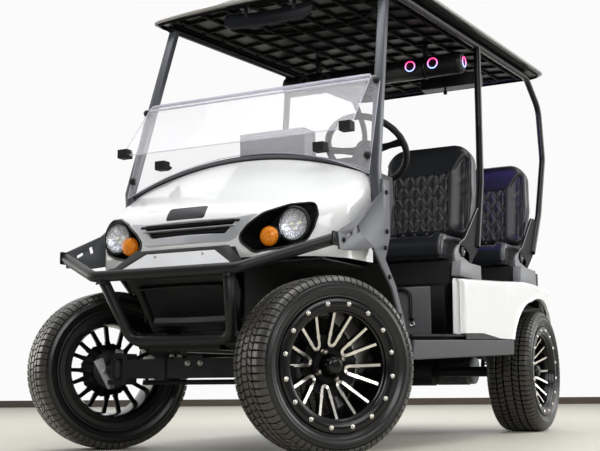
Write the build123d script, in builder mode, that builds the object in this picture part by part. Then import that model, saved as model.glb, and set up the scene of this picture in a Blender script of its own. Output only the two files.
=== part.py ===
"""Four-seat electric golf cart, in millimetres: +X forwards, +Y to the left, +Z up, the floor at z = 0.

The body leans a little nose-down, so lengthwise edges climb towards the tail at RAKE.
The front wheels stand at their right-hand lock, which is the stored pose.
"""
import os
from math import cos, radians, sin, tan

from build123d import *

os.makedirs("parts", exist_ok=True)

# ---- Running gear -------------------------------------------------------------------------------
WHEELBASE = 2035
FRONT_AXLE_X = 1120
REAR_AXLE_X = FRONT_AXLE_X - WHEELBASE
TYRE_R = 288
AXLE_Z = 288                # wheel centres, in the height frame that the body is drawn in
TYRE_W = 216
BEAD_R = 178                # bead seat of a 14 inch wheel
BEAD_W = 92                 # half the distance between the bead flanges
FLANGE_R = 191
RING_R = 212                # outer bolt-on style ring of the rim
RING_T = 9
KINGPIN_Y = 391
KINGPIN_TO_WHEEL = 106
REAR_HALF_TRACK = 518
LOCK = 34.3                 # steering angle of the stored pose
HUB_R = 62
HUB_FACE = 30               # hub face, from the wheel's centre plane
CAP_R = 29                  # dust cap over the hub
CAP_L = 46
SPINDLE_R = 16
KINGPIN_R = 12
RUN = 0.3                   # running or seating clearance
EAR_T = 18
EAR_GAP = 74                # between the kingpin ears
ARM = 110                   # steering arm, kingpin to tie rod
TIE_ROD_DROP = 48           # tie rod below the wheel centre
BEAM_H = 68
BEAM_D = 60
AXLE_TUBE_R = 25

# ---- Body ---------------------------------------------------------------------------------------
RAKE = 2.0
SILL_Z = 408.5              # rocker top above x = 0
ROCKER_H = 70
ROCKER_Y = 600
ROCKER_T = 40
FLOOR_RISE = 20             # floor surface above the rocker top
FLOOR_T = 8
SHEET = 5                   # body panel thickness
COWL_REAR_X = 868
COWL_Y = 515
COWL_CROWN_Z = 1066         # hood at its rear edge, on the centre line
COWL_CORNER_Z = 965         # hood at its rear corners
COWL_BASE_Z = 650
NOSE_X = 1262
NOSE_Z = 818
BODY_FRONT_X = 160
BODY_REAR_X = REAR_AXLE_X - 495
BODY_TOP_FRONT_Z = 650
BODY_TOP_REAR_Z = 700
SHOULDER_KNEE_X = -666      # where the body's top levels out
INNER_Y = 515               # inside of the rear body's sides

# ---- Cabin --------------------------------------------------------------------------------------
PILLAR_Y = 511
PILLAR_TOP_Y = 478
PILLAR_LEAN = 0.306         # rearwards for each millimetre up
STRUT_Y = 530
RAIL_Y = 500
STRUT_R = 16                # roof rails and struts
RAIL_Z = 1765               # roof rail axis above x = 0
ROOF_CLIMB = 0.0612
ROOF_Y = 570
ROOF_FRONT_X = 760
ROOF_REAR_X = -1345
ROOF_EDGE_T = 20
ROOF_CROWN = 40
GLASS_T = 5
ROW_PITCH = 855             # front seat row to rear seat row
ROW_RISE = 55
CUSHION_FRONT_X = 130
CUSHION_DEPTH = 375
CUSHION_Y = 500
CUSHION_Z = 735
CUSHION_T = 115
BACK_Y = 268                # centre of each seat back
BACK_W = 460
BACK_T = 105
BACK_FOOT = (-262, CUSHION_Z + 133)     # front lower edge of the front row's backs
BACK_H = 450
BACK_LEAN = 8.0
WHEEL_CENTRE = (356, 268, 1176)     # steering wheel
WHEEL_TILT = 47
STEER_R = 166
STEER_RIM_R = 14


def climb(x):
    """How far a raked edge has risen at station x, against x = 0."""
    return -x * tan(radians(RAKE))


def sill(x, above=0.0):
    """A point of the side view, above the rocker's top edge."""
    return (x, SILL_Z + climb(x) + above)


def side_view(y):
    """The XZ plane at a given y; a sketch on it extrudes towards +Y by a negative amount."""
    return Plane.XZ.offset(-y)


def mirrored(part):
    """A piece and its twin across the centre plane, as one compound of separate solids."""
    return Compound(children=[part, part.mirror(Plane.XZ)])


def write(name, shape):
    # a tyre of another radius lifts the whole cart
    shape = shape.moved(Location((0, 0, TYRE_R - AXLE_Z)))
    shape.label = name
    export_step(shape, f"parts/{name}.step")


def tube(path, radius):
    """A round bar along a wire."""
    with BuildPart() as bar:
        with BuildSketch(Plane(origin=path @ 0, z_dir=path % 0)):
            Circle(radius)
        sweep(path=path)
    return bar.part


def bent(points, radius):
    """A wire through the points with each inner corner rounded to the radius."""
    with BuildLine() as wire:
        FilletPolyline(*points, radius=radius)
    return wire.wire()


# ---- Frame, axles and springs -------------------------------------------------------------------
RAIL_TOP = FLOOR_RISE - FLOOR_T - RUN
RAIL_H = 60
FRAME_Y = 250
NOSE_RAIL_Y = 115
SPRING_Y = {"front": 175, "rear": 375}
SPRING_W = 45
SPRING_T = 18
SPRING_HALF = {"front": 130, "rear": 265}
SPRING_DROP = {"front": 40, "rear": 78}
SPRING_EYE_R = 16
HANGER_T = 20
HANGER_Z = {"front": 385, "rear": 422}       # underside of the hangers
NOSE_RAIL_Z = 370
NOSE_CROSS_X = 1264
SEAT_BEAM_Z = 597           # cross member under the rear seat
SEAT_BEAM_H = 30
SEAT_BEAM_X = -155 - ROW_PITCH
FRAME_REAR_X = REAR_AXLE_X - 335
with BuildPart() as frame:
    # two long raked rails under the floor
    with BuildSketch(side_view(FRAME_Y - 25)):
        with BuildLine():
            Polyline(sill(740, RAIL_TOP), sill(FRAME_REAR_X, RAIL_TOP), sill(FRAME_REAR_X, RAIL_TOP - RAIL_H),
                     sill(740, RAIL_TOP - RAIL_H), close=True)
        make_face()
    extrude(amount=-50)
    mirror(about=Plane.XZ)
    # narrow front rails, their cross members and the cowl's tower
    for x, y, z, length, width, height in (
        # centre x, y, z, then sizes
        (960, NOSE_RAIL_Y, NOSE_RAIL_Z, 600, 50, 50),
        (960, -NOSE_RAIL_Y, NOSE_RAIL_Z, 600, 50, 50),
        (690, 0, 365, 60, 550, 58),
        (NOSE_CROSS_X, 0, NOSE_RAIL_Z, 25, 280, 50),
        (1000, 0, 516, 30, 240, 244),
        (REAR_AXLE_X + 355, 0, SILL_Z + climb(REAR_AXLE_X + 355) - 23, 60, 450, 50),
        (FRAME_REAR_X + 35, 0, SILL_Z + climb(FRAME_REAR_X + 35) - 21, 50, 450, 60),
        (SEAT_BEAM_X, 0, SEAT_BEAM_Z, 40, 640, SEAT_BEAM_H),
        (SEAT_BEAM_X, 250, SEAT_BEAM_Z - 82, 40, 50, 150),
        (SEAT_BEAM_X, -250, SEAT_BEAM_Z - 82, 40, 50, 150),
    ):
        with Locations((x, y, z)):
            Box(length, width, height)
    # spring hangers
    for axle, axle_x, reach in (("front", FRONT_AXLE_X, 120), ("rear", REAR_AXLE_X, 240)):
        for side in (1, -1):
            for end in (1, -1):
                with Locations((axle_x + end * SPRING_HALF[axle], side * (SPRING_Y[axle] + SPRING_W / 2), HANGER_Z[axle])):
                    Box(36, reach, HANGER_T, align=(Align.CENTER, Align.MAX if side > 0 else Align.MIN, Align.MIN))
write("frame", frame.part)

EAR_Y0 = KINGPIN_Y - 61
with BuildPart() as front_axle_beam:
    with Locations((FRONT_AXLE_X, 0, AXLE_Z)):
        Box(BEAM_D, 2 * EAR_Y0 + 10, BEAM_H)
    for side in (1, -1):
        with Locations((FRONT_AXLE_X, side * (EAR_Y0 + 11), AXLE_Z)):
            Box(BEAM_D, 22, EAR_GAP + 2 * EAR_T)
        for level in (1, -1):
            with Locations((FRONT_AXLE_X, side * (KINGPIN_Y - 17), AXLE_Z + level * (EAR_GAP + EAR_T) / 2)):
                Box(54, 88, EAR_T)
        with Locations((FRONT_AXLE_X, side * KINGPIN_Y, AXLE_Z)):
            Cylinder(KINGPIN_R + RUN, 200, mode=Mode.SUBTRACT)
write("front_axle_beam", front_axle_beam.part)


def leaf_spring(axle_x, y, seat_z, half, drop):
    """A leaf pack bowed down onto its axle, with an eye at each end."""
    with BuildPart() as spring:
        with BuildSketch(side_view(y - SPRING_W / 2)):
            with BuildLine():
                low = ThreePointArc((axle_x - half, seat_z + drop), (axle_x, seat_z),
                                    (axle_x + half, seat_z + drop))
                high = ThreePointArc((axle_x - half, seat_z + drop + SPRING_T / 2),
                                     (axle_x, seat_z + SPRING_T),
                                     (axle_x + half, seat_z + drop + SPRING_T / 2))
                Line(low @ 0, high @ 0)
                Line(low @ 1, high @ 1)
            make_face()
            for end in (1, -1):
                with Locations((axle_x + end * half, seat_z + drop + 4)):
                    Circle(SPRING_EYE_R)
        extrude(amount=-SPRING_W)
    return spring.part


springs = []
for axle, axle_x, seat_z in (("front", FRONT_AXLE_X, AXLE_Z + BEAM_H / 2), ("rear", REAR_AXLE_X, AXLE_Z + AXLE_TUBE_R)):
    # the pack is lifted until its eyes meet the hangers
    eye_top = seat_z + SPRING_DROP[axle] + 4 + SPRING_EYE_R
    pad = HANGER_Z[axle] - RUN - eye_top
    spring = leaf_spring(axle_x, SPRING_Y[axle], seat_z + pad, SPRING_HALF[axle], SPRING_DROP[axle])
    with BuildPart() as seated:
        add(spring)
        with Locations((axle_x, SPRING_Y[axle], seat_z + RUN + (pad + 4) / 2)):
            Box(90, SPRING_W, pad + 4)
    springs += [seated.part, seated.part.mirror(Plane.XZ)]
write("leaf_springs", Compound(children=springs))

DRUM_R = 95
GEARCASE_X = (REAR_AXLE_X - 205, REAR_AXLE_X + 35)
MOTOR_X = REAR_AXLE_X - 150
MOTOR_Z = 305
MOTOR_R = 78
with BuildPart() as rear_axle:
    with BuildSketch(Plane.XZ.offset(REAR_HALF_TRACK + HUB_FACE - 20)):
        with Locations((REAR_AXLE_X, AXLE_Z)):
            Circle(SPINDLE_R)
    extrude(amount=-2 * (REAR_HALF_TRACK + HUB_FACE - 20))
    with Locations(Location((REAR_AXLE_X, 0, AXLE_Z), (90, 0, 0))):
        Cylinder(AXLE_TUBE_R, 2 * 432)
    for side in (1, -1):
        with Locations(Location((REAR_AXLE_X, side * 465, AXLE_Z), (90, 0, 0))):
            Cylinder(DRUM_R, 66)
    with Locations(((GEARCASE_X[0] + GEARCASE_X[1]) / 2, -45, AXLE_Z)):
        Box(GEARCASE_X[1] - GEARCASE_X[0], 60, 130)
    with Locations(Location((REAR_AXLE_X, -10, AXLE_Z), (90, 0, 0))):
        Cylinder(68, 130)
write("rear_axle", rear_axle.part)

with BuildPart() as drive_motor:
    with Locations(Location((MOTOR_X, -15 + RUN + 115, MOTOR_Z), (90, 0, 0))):
        Cylinder(MOTOR_R, 230)
write("drive_motor", drive_motor.part)

SHOCK_TOP = (SEAT_BEAM_X, 300, SEAT_BEAM_Z - SEAT_BEAM_H / 2 - RUN)
with BuildPart() as shock:
    with BuildSketch(Plane.XY.offset(AXLE_Z + AXLE_TUBE_R + RUN)):
        with Locations((REAR_AXLE_X - 20, SHOCK_TOP[1])):
            Circle(10)
    with BuildSketch(Plane.XY.offset(SHOCK_TOP[2])):
        with Locations((SHOCK_TOP[0], SHOCK_TOP[1])):
            Circle(10)
    loft()
    with BuildSketch(Plane.XY.offset(350)):
        with Locations((REAR_AXLE_X - 33.5, SHOCK_TOP[1])):
            Circle(24)
    with BuildSketch(Plane.XY.offset(500)):
        with Locations((REAR_AXLE_X - 76, SHOCK_TOP[1])):
            Circle(24)
    loft()
write("shock_absorbers", mirrored(shock.part))

# ---- Floor, rockers and battery -----------------------------------------------------------------
FLOOR_FRONT_X = 700
FLOOR_REAR_X = -560
with BuildPart() as floor_pan:
    with BuildSketch(side_view(-590)):
        with BuildLine():
            Polyline(sill(FLOOR_FRONT_X, FLOOR_RISE), sill(-130, FLOOR_RISE), sill(-330, FLOOR_RISE),
                     sill(-330, FLOOR_RISE - FLOOR_T), sill(FLOOR_FRONT_X, FLOOR_RISE - FLOOR_T), close=True)
        make_face()
    extrude(amount=-2 * 590)
    # the rear passengers' floor, between the wheels
    with BuildSketch(side_view(-380)):
        with BuildLine():
            Polyline(sill(-320, FLOOR_RISE), sill(-700, FLOOR_RISE), sill(-700, FLOOR_RISE - FLOOR_T),
                     sill(-320, FLOOR_RISE - FLOOR_T), close=True)
        make_face()
    extrude(amount=-2 * 380)
    # skirts that hold the rockers
    for side in (1, -1):
        with BuildSketch(side_view(side * (ROCKER_Y - ROCKER_T - RUN - FLOOR_T / 2) - FLOOR_T / 2)):
            with BuildLine():
                Polyline(sill(FLOOR_FRONT_X, FLOOR_RISE - 2), sill(-330, FLOOR_RISE - 2), sill(-330, -40),
                         sill(FLOOR_FRONT_X, -40), close=True)
            make_face()
        extrude(amount=-FLOOR_T)
write("floor_pan", floor_pan.part)

with BuildPart() as rocker:
    with BuildSketch(side_view(ROCKER_Y - ROCKER_T)):
        with BuildLine():
            Polyline(sill(706, -RUN), sill(-500, -RUN), sill(-490, -ROCKER_H), sill(724, -ROCKER_H), close=True)
        make_face()
    extrude(amount=-ROCKER_T)
    fillet(rocker.edges().filter_by(GeomType.LINE).filter_by(lambda e: e.length > 1000).group_by(Axis.Y)[-1], 6)
write("rocker_panels", mirrored(rocker.part))

with BuildPart() as battery_pack:
    with BuildSketch(side_view(-330)):
        with BuildLine():
            Polyline(sill(130, FLOOR_RISE + RUN), sill(-225, FLOOR_RISE + RUN), (-225, CUSHION_Z - 130), (130, CUSHION_Z - 130), close=True)
        make_face()
    extrude(amount=-660)
write("battery_pack", battery_pack.part)

# ---- Front body ---------------------------------------------------------------------------------
HOOD_DIR = Vector(NOSE_X - COWL_REAR_X, 0, NOSE_Z - COWL_CROWN_Z)
POCKET = ((190, 712), (225, 755), (280, 799), (350, 828), (425, 836), (440, 790), (430, 745),
          (410, 705), (350, 682), (250, 664))           # lamp pocket's outline, seen from ahead
LAMP = (1175, 363, 759)
LAMP_R = 52
LAMP_RING_R = 62
TURN_LAMP = (1215, 286, 721)
TURN_LAMP_R = 33
POCKET_FLOOR_X = 1135
SLOT_Y = 188
SLOT_Z = (733, 782)


def hood_block(inset):
    """The cowl as a solid block: side view, plan and arched front view intersected."""
    with BuildPart() as block:
        with BuildSketch(side_view(-700)):
            with BuildLine():
                Polyline((COWL_REAR_X, COWL_BASE_Z - 100 * bool(inset)), (COWL_REAR_X, 1200), (NOSE_X - inset, 1200),
                         (NOSE_X - inset, NOSE_Z - 8), (NOSE_X + 20 - inset, 738), (NOSE_X + 44 - inset, 692),
                         (NOSE_X + 44 - inset, 640) if inset else (NOSE_X + 40, 690),
                         (NOSE_X - 20, COWL_BASE_Z - 100 * bool(inset)), close=True)
            make_face()
        extrude(amount=-1400)
        with BuildSketch(Plane.XY.offset(400), mode=Mode.PRIVATE) as plan:
            with BuildLine():
                side = Line((COWL_REAR_X - 1, COWL_Y - inset), (1030, COWL_Y - 12 - inset))
                corner = ThreePointArc(side @ 1, (1168 - inset * 0.7, 415 - inset * 0.7), (1235 - inset, 270))
                nose = ThreePointArc(corner @ 1, (NOSE_X + 25 - inset, 140), (NOSE_X + 45 - inset, 0))
                mirror(about=Plane.XZ)
                Line((COWL_REAR_X - 1, COWL_Y - inset), (COWL_REAR_X - 1, inset - COWL_Y))
            make_face()
        extrude(plan.sketch, amount=800, mode=Mode.INTERSECT)
        with BuildSketch(Plane.YZ.offset(COWL_REAR_X - 40), mode=Mode.PRIVATE) as arch:
            rear = 40 * (COWL_CROWN_Z - NOSE_Z) / (NOSE_X - COWL_REAR_X)
            with BuildLine():
                ThreePointArc((-COWL_Y, COWL_CORNER_Z + rear - inset), (0, COWL_CROWN_Z + rear - inset),
                              (COWL_Y, COWL_CORNER_Z + rear - inset))
                Polyline((COWL_Y, COWL_CORNER_Z + rear - inset), (COWL_Y, 300), (-COWL_Y, 300),
                         (-COWL_Y, COWL_CORNER_Z + rear - inset))
            make_face()
        extrude(arch.sketch, amount=640, dir=HOOD_DIR.normalized(), mode=Mode.INTERSECT)
    return block.part


with BuildPart() as front_cowl:
    add(hood_block(0))
    add(hood_block(SHEET), mode=Mode.SUBTRACT)
    for side in (1, -1):
        with BuildSketch(Plane.YZ.offset(1050)):
            Polygon(*[(side * y, z) for y, z in POCKET], align=None)
        extrude(amount=300, mode=Mode.SUBTRACT)
    with Locations((NOSE_X, 0, sum(SLOT_Z) / 2)):
        Box(120, 2 * SLOT_Y, SLOT_Z[1] - SLOT_Z[0], mode=Mode.SUBTRACT)
    # sides are cut back over the front wheels
    with Locations((1150, 0, COWL_BASE_Z)):
        Box(160, 1200, 24, mode=Mode.SUBTRACT)
write("front_cowl", front_cowl.part)

GRILLE_TOP_X = 1322
GRILLE_FOOT = (1196, 408)
GRILLE_Y = 195
PANEL_TOP = (1309, 676)
PANEL_FOOT = (1350, 606)
with BuildPart() as front_fascia:
    # lower grille box, open to the rear
    with BuildSketch(side_view(-GRILLE_Y)):
        with BuildLine():
            Polyline((PANEL_FOOT[0] - 3, 602), (GRILLE_TOP_X, 578), GRILLE_FOOT, (1040, GRILLE_FOOT[1]), (1040, 602),
                     close=True)
        make_face()
    extrude(amount=-2 * GRILLE_Y)
    with BuildSketch(side_view(6 - GRILLE_Y)):
        with BuildLine():
            Polyline((PANEL_FOOT[0] - 18, 594), (GRILLE_TOP_X - 8, 574), (GRILLE_FOOT[0] - 4, GRILLE_FOOT[1] + 6),
                     (1000, GRILLE_FOOT[1] + 6), (1000, 594), close=True)
        make_face()
    extrude(amount=12 - 2 * GRILLE_Y, mode=Mode.SUBTRACT)
    # frame around the nose panel
    frame_plane = Plane(origin=(PANEL_TOP[0] - 7, 0, PANEL_TOP[1] - 4), x_dir=(0, 1, 0), z_dir=(70, 0, 41))
    with BuildSketch(frame_plane):
        Polygon((-285, -86), (285, -86), (190, 14), (-190, 14), align=None)
        Polygon((-236, -72), (236, -72), (138, 0), (-138, 0), align=None, mode=Mode.SUBTRACT)
    extrude(amount=6)
    # lamp pockets
    for side in (1, -1):
        with BuildSketch(Plane.YZ.offset(POCKET_FLOOR_X - 5)):
            Polygon(*[(side * y, z) for y, z in POCKET], align=None)
        extrude(amount=5)
        with BuildSketch(Plane.YZ.offset(POCKET_FLOOR_X - 5)):
            wall = Polygon(*[(side * y, z) for y, z in POCKET], align=None)
            offset(wall, amount=-RUN, kind=Kind.INTERSECTION, mode=Mode.REPLACE)
            offset(amount=-4, kind=Kind.INTERSECTION, mode=Mode.SUBTRACT)
        extrude(amount=30)
    # grille slot liner
    with Locations((NOSE_X - 26, 0, sum(SLOT_Z) / 2)):
        Box(4, 2 * SLOT_Y + 40, SLOT_Z[1] - SLOT_Z[0] + 30)
    # bridge that carries the pockets and the slot liner behind the nose
    with Locations((POCKET_FLOOR_X - 8, 0, 700)):
        Box(8, 840, 36)
    with Locations((1190, 0, 700)):
        Box(130, 60, 20)
    with Locations((1240, 0, 667)):
        Box(10, 60, 146)
    with Locations((1287, 0, 598)):
        Box(104, 60, 6)
write("front_fascia", front_fascia.part)

with BuildPart() as nose_panel:
    with BuildSketch(frame_plane.offset(1)):
        Polygon((-235, -71.5), (235, -71.5), (137.5, -0.5), (-137.5, -0.5), align=None)
    extrude(amount=6)
    fillet(nose_panel.edges().group_by(Axis((0, 0, 0), (70, 0, 41)))[-1], 2.5)
write("nose_panel", nose_panel.part)

with BuildPart() as headlight:
    face_plane = Plane(origin=(POCKET_FLOOR_X + RUN, LAMP[1], LAMP[2]), x_dir=(0, 1, 0), z_dir=(1, 0, 0))
    with BuildSketch(face_plane):
        Circle(LAMP_RING_R - 8)
    extrude(amount=LAMP[0] - POCKET_FLOOR_X - 12)
    with BuildSketch(face_plane.offset(LAMP[0] - POCKET_FLOOR_X - 12)):
        Circle(LAMP_RING_R)
    extrude(amount=10)
    with BuildSketch(face_plane.offset(LAMP[0] - POCKET_FLOOR_X - 2)):
        Circle(LAMP_R)
    extrude(amount=5)
write("headlights", mirrored(headlight.part))

with BuildPart() as turn_signal:
    turn_plane = Plane(origin=(POCKET_FLOOR_X + RUN, TURN_LAMP[1], TURN_LAMP[2]), x_dir=(0, 1, 0), z_dir=(1, 0, 0))
    with BuildSketch(turn_plane):
        with Locations((-14, -8)):
            Circle(16)
    extrude(amount=TURN_LAMP[0] - POCKET_FLOOR_X - 14)
    with BuildSketch(turn_plane.offset(TURN_LAMP[0] - POCKET_FLOOR_X - 16)):
        Circle(TURN_LAMP_R)
    extrude(amount=16)
    fillet(turn_signal.edges().group_by(Axis.X)[-1], 10)
write("turn_signals", mirrored(turn_signal.part))

BUMPER_R = 19
BUMPER_END = (1240, 548, 690)
BUMPER_CORNER = (1405, 285, 596)
LOOP_TOP_Y = 250
LOOP_CORNER = (NOSE_CROSS_X + 12.5 + RUN + BUMPER_R, 199, 378)
upper_tube = tube(bent([BUMPER_END, BUMPER_CORNER, (BUMPER_CORNER[0], -BUMPER_CORNER[1], BUMPER_CORNER[2]),
                        (BUMPER_END[0], -BUMPER_END[1], BUMPER_END[2])], 60), BUMPER_R)
lower_tube = tube(bent([(BUMPER_CORNER[0] - 3, LOOP_TOP_Y, BUMPER_CORNER[2] - 6), LOOP_CORNER,
                        (LOOP_CORNER[0], -LOOP_CORNER[1], LOOP_CORNER[2]),
                        (BUMPER_CORNER[0] - 3, -LOOP_TOP_Y, BUMPER_CORNER[2] - 6)], 50), BUMPER_R)
with BuildPart() as brush_guard:
    add(upper_tube)
    add(lower_tube)
write("brush_guard", brush_guard.part)

BRACKET_Y = 551
with BuildPart() as side_bracket:
    with BuildSketch(side_view(BRACKET_Y)):
        with BuildLine():
            Polyline((1235, 712), (1222, 657), (1075, 668), (960, 690), (902, 640), (800, 560), (716, 432),
                     (716, sill(688, FLOOR_RISE + RUN)[1]), sill(688, FLOOR_RISE + RUN), (688, 440), (770, 575),
                     (858, 660), (813, 747), (813, 945), (868, 945), (875, 898), (1027, 797), close=True)
        make_face()
        with Locations((1150, 712)):
            SlotOverall(46, 12, rotation=-25, mode=Mode.SUBTRACT)
        with Locations((1085, 738)):
            Rectangle(26, 26, rotation=-25, mode=Mode.SUBTRACT)
    extrude(amount=-8)
write("side_brackets", mirrored(side_bracket.part))

TOE_Y = BRACKET_Y - RUN
LINER_Y = COWL_Y - SHEET - 3
TOE_FOOT = (702, 406)       # cabin face of the toe board, its foot and its knee
TOE_KNEE = (785, 551)


def toe_face(z):
    """A point just off the toe board's cabin face, between its foot and its knee."""
    share = (z - TOE_FOOT[1]) / (TOE_KNEE[1] - TOE_FOOT[1])
    return (TOE_FOOT[0] + share * (TOE_KNEE[0] - TOE_FOOT[0]) - RUN, z)


with BuildPart() as wheel_arch_liners:
    # toe board and rear wall of both wheel arches, then the bulkhead up to the dash
    with BuildSketch(side_view(-TOE_Y)):
        with BuildLine():
            Polyline((TOE_FOOT[0] + 6, TOE_FOOT[1]), (790, 548), (884, 640), (884, 645), (879, 645), (879, 642),
                     TOE_KNEE, TOE_FOOT, close=True)
        make_face()
    extrude(amount=-2 * TOE_Y)
    with Locations((881.5, 0, 700)):
        Box(5, 2 * LINER_Y, 120)
    # arch roofs and inner walls
    for side in (1, -1):
        with Locations((1044, side * 348, 632)):
            Box(352, 296, 5)
        with Locations((1050, side * 202, 540)):
            Box(340, 5, 188)
write("wheel_arch_liners", wheel_arch_liners.part)

# ---- Dash, steering and windshield --------------------------------------------------------------
DASH_RISE = 20              # dash lip above the cowl's rear edge
COLUMN_R = 24
aim = Vector(cos(radians(WHEEL_TILT)), 0, -sin(radians(WHEEL_TILT)))    # down the column
steering_plane = Plane(origin=WHEEL_CENTRE, x_dir=(0, 1, 0), z_dir=-aim)


def dash_block(inset):
    """The dash as a block under an arched top."""
    with BuildPart() as block:
        with BuildSketch(side_view(inset - 498)):
            with BuildLine():
                Polyline((866 + inset, 700 + inset), (866 + inset, 1140), (690, 1140), (640 + inset, 1010),
                         (632 + inset, 900), (700 + inset, 760), (790, 700 + inset), close=True)
            make_face()
        extrude(amount=2 * (inset - 498))
        with BuildSketch(Plane.YZ.offset(400), mode=Mode.PRIVATE) as arch:
            top = DASH_RISE - inset
            with BuildLine():
                ThreePointArc((-COWL_Y, COWL_CORNER_Z + top), (0, COWL_CROWN_Z + top), (COWL_Y, COWL_CORNER_Z + top))
                Polyline((COWL_Y, COWL_CORNER_Z + top), (COWL_Y, 300), (-COWL_Y, 300), (-COWL_Y, COWL_CORNER_Z + top))
            make_face()
        extrude(arch.sketch, amount=600, mode=Mode.INTERSECT)
    return block.part


with BuildPart() as dashboard:
    add(dash_block(0))
    add(dash_block(SHEET), mode=Mode.SUBTRACT)
    # instrument pod on top
    with Locations((752, 70, 1124)):
        Box(92, 280, 126)
    with BuildSketch(Plane(origin=Vector(*WHEEL_CENTRE) + aim * 200, x_dir=(0, 1, 0), z_dir=aim)):
        Circle(COLUMN_R + RUN)
    extrude(amount=290, mode=Mode.SUBTRACT)
    # feet that bear on the bulkhead
    for side in (1, -1):
        with Locations((870.35, side * 300, 712)):
            Box(16.7, 60, 24)
write("dashboard", dashboard.part)

with BuildPart() as steering_column:
    with BuildSketch(Plane(origin=Vector(*WHEEL_CENTRE) + aim * 32, x_dir=(0, 1, 0), z_dir=aim)):
        Circle(COLUMN_R)
    extrude(amount=420)
write("steering_column", steering_column.part)

with BuildPart() as steering_wheel:
    with BuildSketch(Plane(origin=WHEEL_CENTRE, x_dir=(0, 1, 0), z_dir=aim.cross(Vector(0, 1, 0)))):
        with Locations((STEER_R, 0)):
            Circle(STEER_RIM_R)
    revolve(axis=Axis(WHEEL_CENTRE, -aim))
    with BuildSketch(steering_plane.offset(-32 + RUN)):
        Circle(44)
    extrude(amount=34)
    with BuildSketch(steering_plane.offset(-14)):
        for angle in (8, 172, 270):
            with Locations(Rotation(0, 0, angle) * Location((STEER_R / 2 + 10, 0))):
                Rectangle(STEER_R - 24, 30)
    extrude(amount=10)
write("steering_wheel", steering_wheel.part)

pedals = []
for y, width in ((205, 62), (320, 78)):
    with BuildPart() as pedal:
        with BuildSketch(side_view(y - width / 2)):
            with BuildLine():
                Polyline((728, 500), (768, 582), (758, 587), (718, 505), close=True)
            make_face()
        extrude(amount=-width)
        with BuildSketch(side_view(y - 8)):
            with BuildLine():
                Polyline((748, 545), (757, 565), toe_face(TOE_KNEE[1] - 3), toe_face(TOE_KNEE[1] - 21), close=True)
            make_face()
        extrude(amount=-16)
    pedals.append(pedal.part)
write("pedals", Compound(children=pedals))


def pillar_x(z):
    """Centre of a front pillar at height z."""
    return 862 - (z - 1022) * PILLAR_LEAN


PILLAR_D = 30
PILLAR_W = 35
ROOF_UNDER_Z = RAIL_Z + STRUT_R + RUN


def roof_under(x):
    return ROOF_UNDER_Z - ROOF_CLIMB * x


PILLAR_FOOT_Z = 756
PILLAR_KNEE_Z = 985
PILLAR_FOOT_Y = COWL_Y + RUN + PILLAR_W / 2
# the leaning pillar meets the climbing rail's underside
PILLAR_HEAD_Z = ((RAIL_Z - STRUT_R - RUN - ROOF_CLIMB * (pillar_x(0) + PILLAR_D / 2)) / (1 - ROOF_CLIMB * PILLAR_LEAN))
with BuildPart() as front_pillar:
    with BuildSketch(Plane.XY.offset(PILLAR_HEAD_Z)):
        with Locations((pillar_x(PILLAR_HEAD_Z), PILLAR_TOP_Y + 4)):
            Rectangle(PILLAR_D, PILLAR_W)
    with BuildSketch(Plane.XY.offset(PILLAR_KNEE_Z)):
        with Locations((pillar_x(PILLAR_KNEE_Z), PILLAR_FOOT_Y)):
            Rectangle(PILLAR_D, PILLAR_W)
    loft()
    with BuildSketch(Plane.XY.offset(PILLAR_FOOT_Z)):
        with Locations((844, PILLAR_FOOT_Y)):
            Rectangle(46, PILLAR_W)
    with BuildSketch(Plane.XY.offset(PILLAR_KNEE_Z)):
        with Locations((pillar_x(PILLAR_KNEE_Z), PILLAR_FOOT_Y)):
            Rectangle(PILLAR_D, PILLAR_W)
    loft()
write("front_pillars", mirrored(front_pillar.part))

HINGE = (790.5, 1354.2)
FREE_EDGE = (986, 1111)
GLASS_Y = 490               # folded upper glass, half width
LOWER_GLASS_Y = 522         # lower glass, in front of the pillars
GLASS_STAND = 7             # lower glass, ahead of the pillars
KNOB_R = 9
glass_plane = Plane(origin=(pillar_x(1022) + PILLAR_D / 2 + GLASS_STAND, 0, 1022), x_dir=(0, 1, 0), z_dir=(1, 0, PILLAR_LEAN))
HINGE_R = 5
# the lower glass stops where the hinge bead's round meets its front face
to_hinge = glass_plane.to_local_coords(Vector(HINGE[0], 0, HINGE[1]))
GLASS_UP = to_hinge.Y - (HINGE_R ** 2 - (to_hinge.Z - GLASS_T) ** 2) ** 0.5
KNOB_DEPTH = GLASS_STAND / (1 + PILLAR_LEAN ** 2) ** 0.5 - RUN
with BuildPart() as windshield_lower:
    with BuildSketch(glass_plane):
        with BuildLine():
            sill_arc = ThreePointArc((-LOWER_GLASS_Y, -66), (0, 71), (LOWER_GLASS_Y, -66))
            Polyline(sill_arc @ 1, (LOWER_GLASS_Y, GLASS_UP), (-LOWER_GLASS_Y, GLASS_UP), sill_arc @ 0)
        make_face()
        fillet(vertices().group_by(Axis.Y)[-1], 30)
    extrude(amount=GLASS_T)
    # mounting knobs that reach the pillars
    for side in (1, -1):
        for up in (6, GLASS_UP - 24):
            with BuildSketch(glass_plane.offset(-KNOB_DEPTH)):
                with Locations((side * PILLAR_Y, up)):
                    Circle(KNOB_R)
            extrude(amount=KNOB_DEPTH + 19)
write("windshield_lower", windshield_lower.part)

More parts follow.
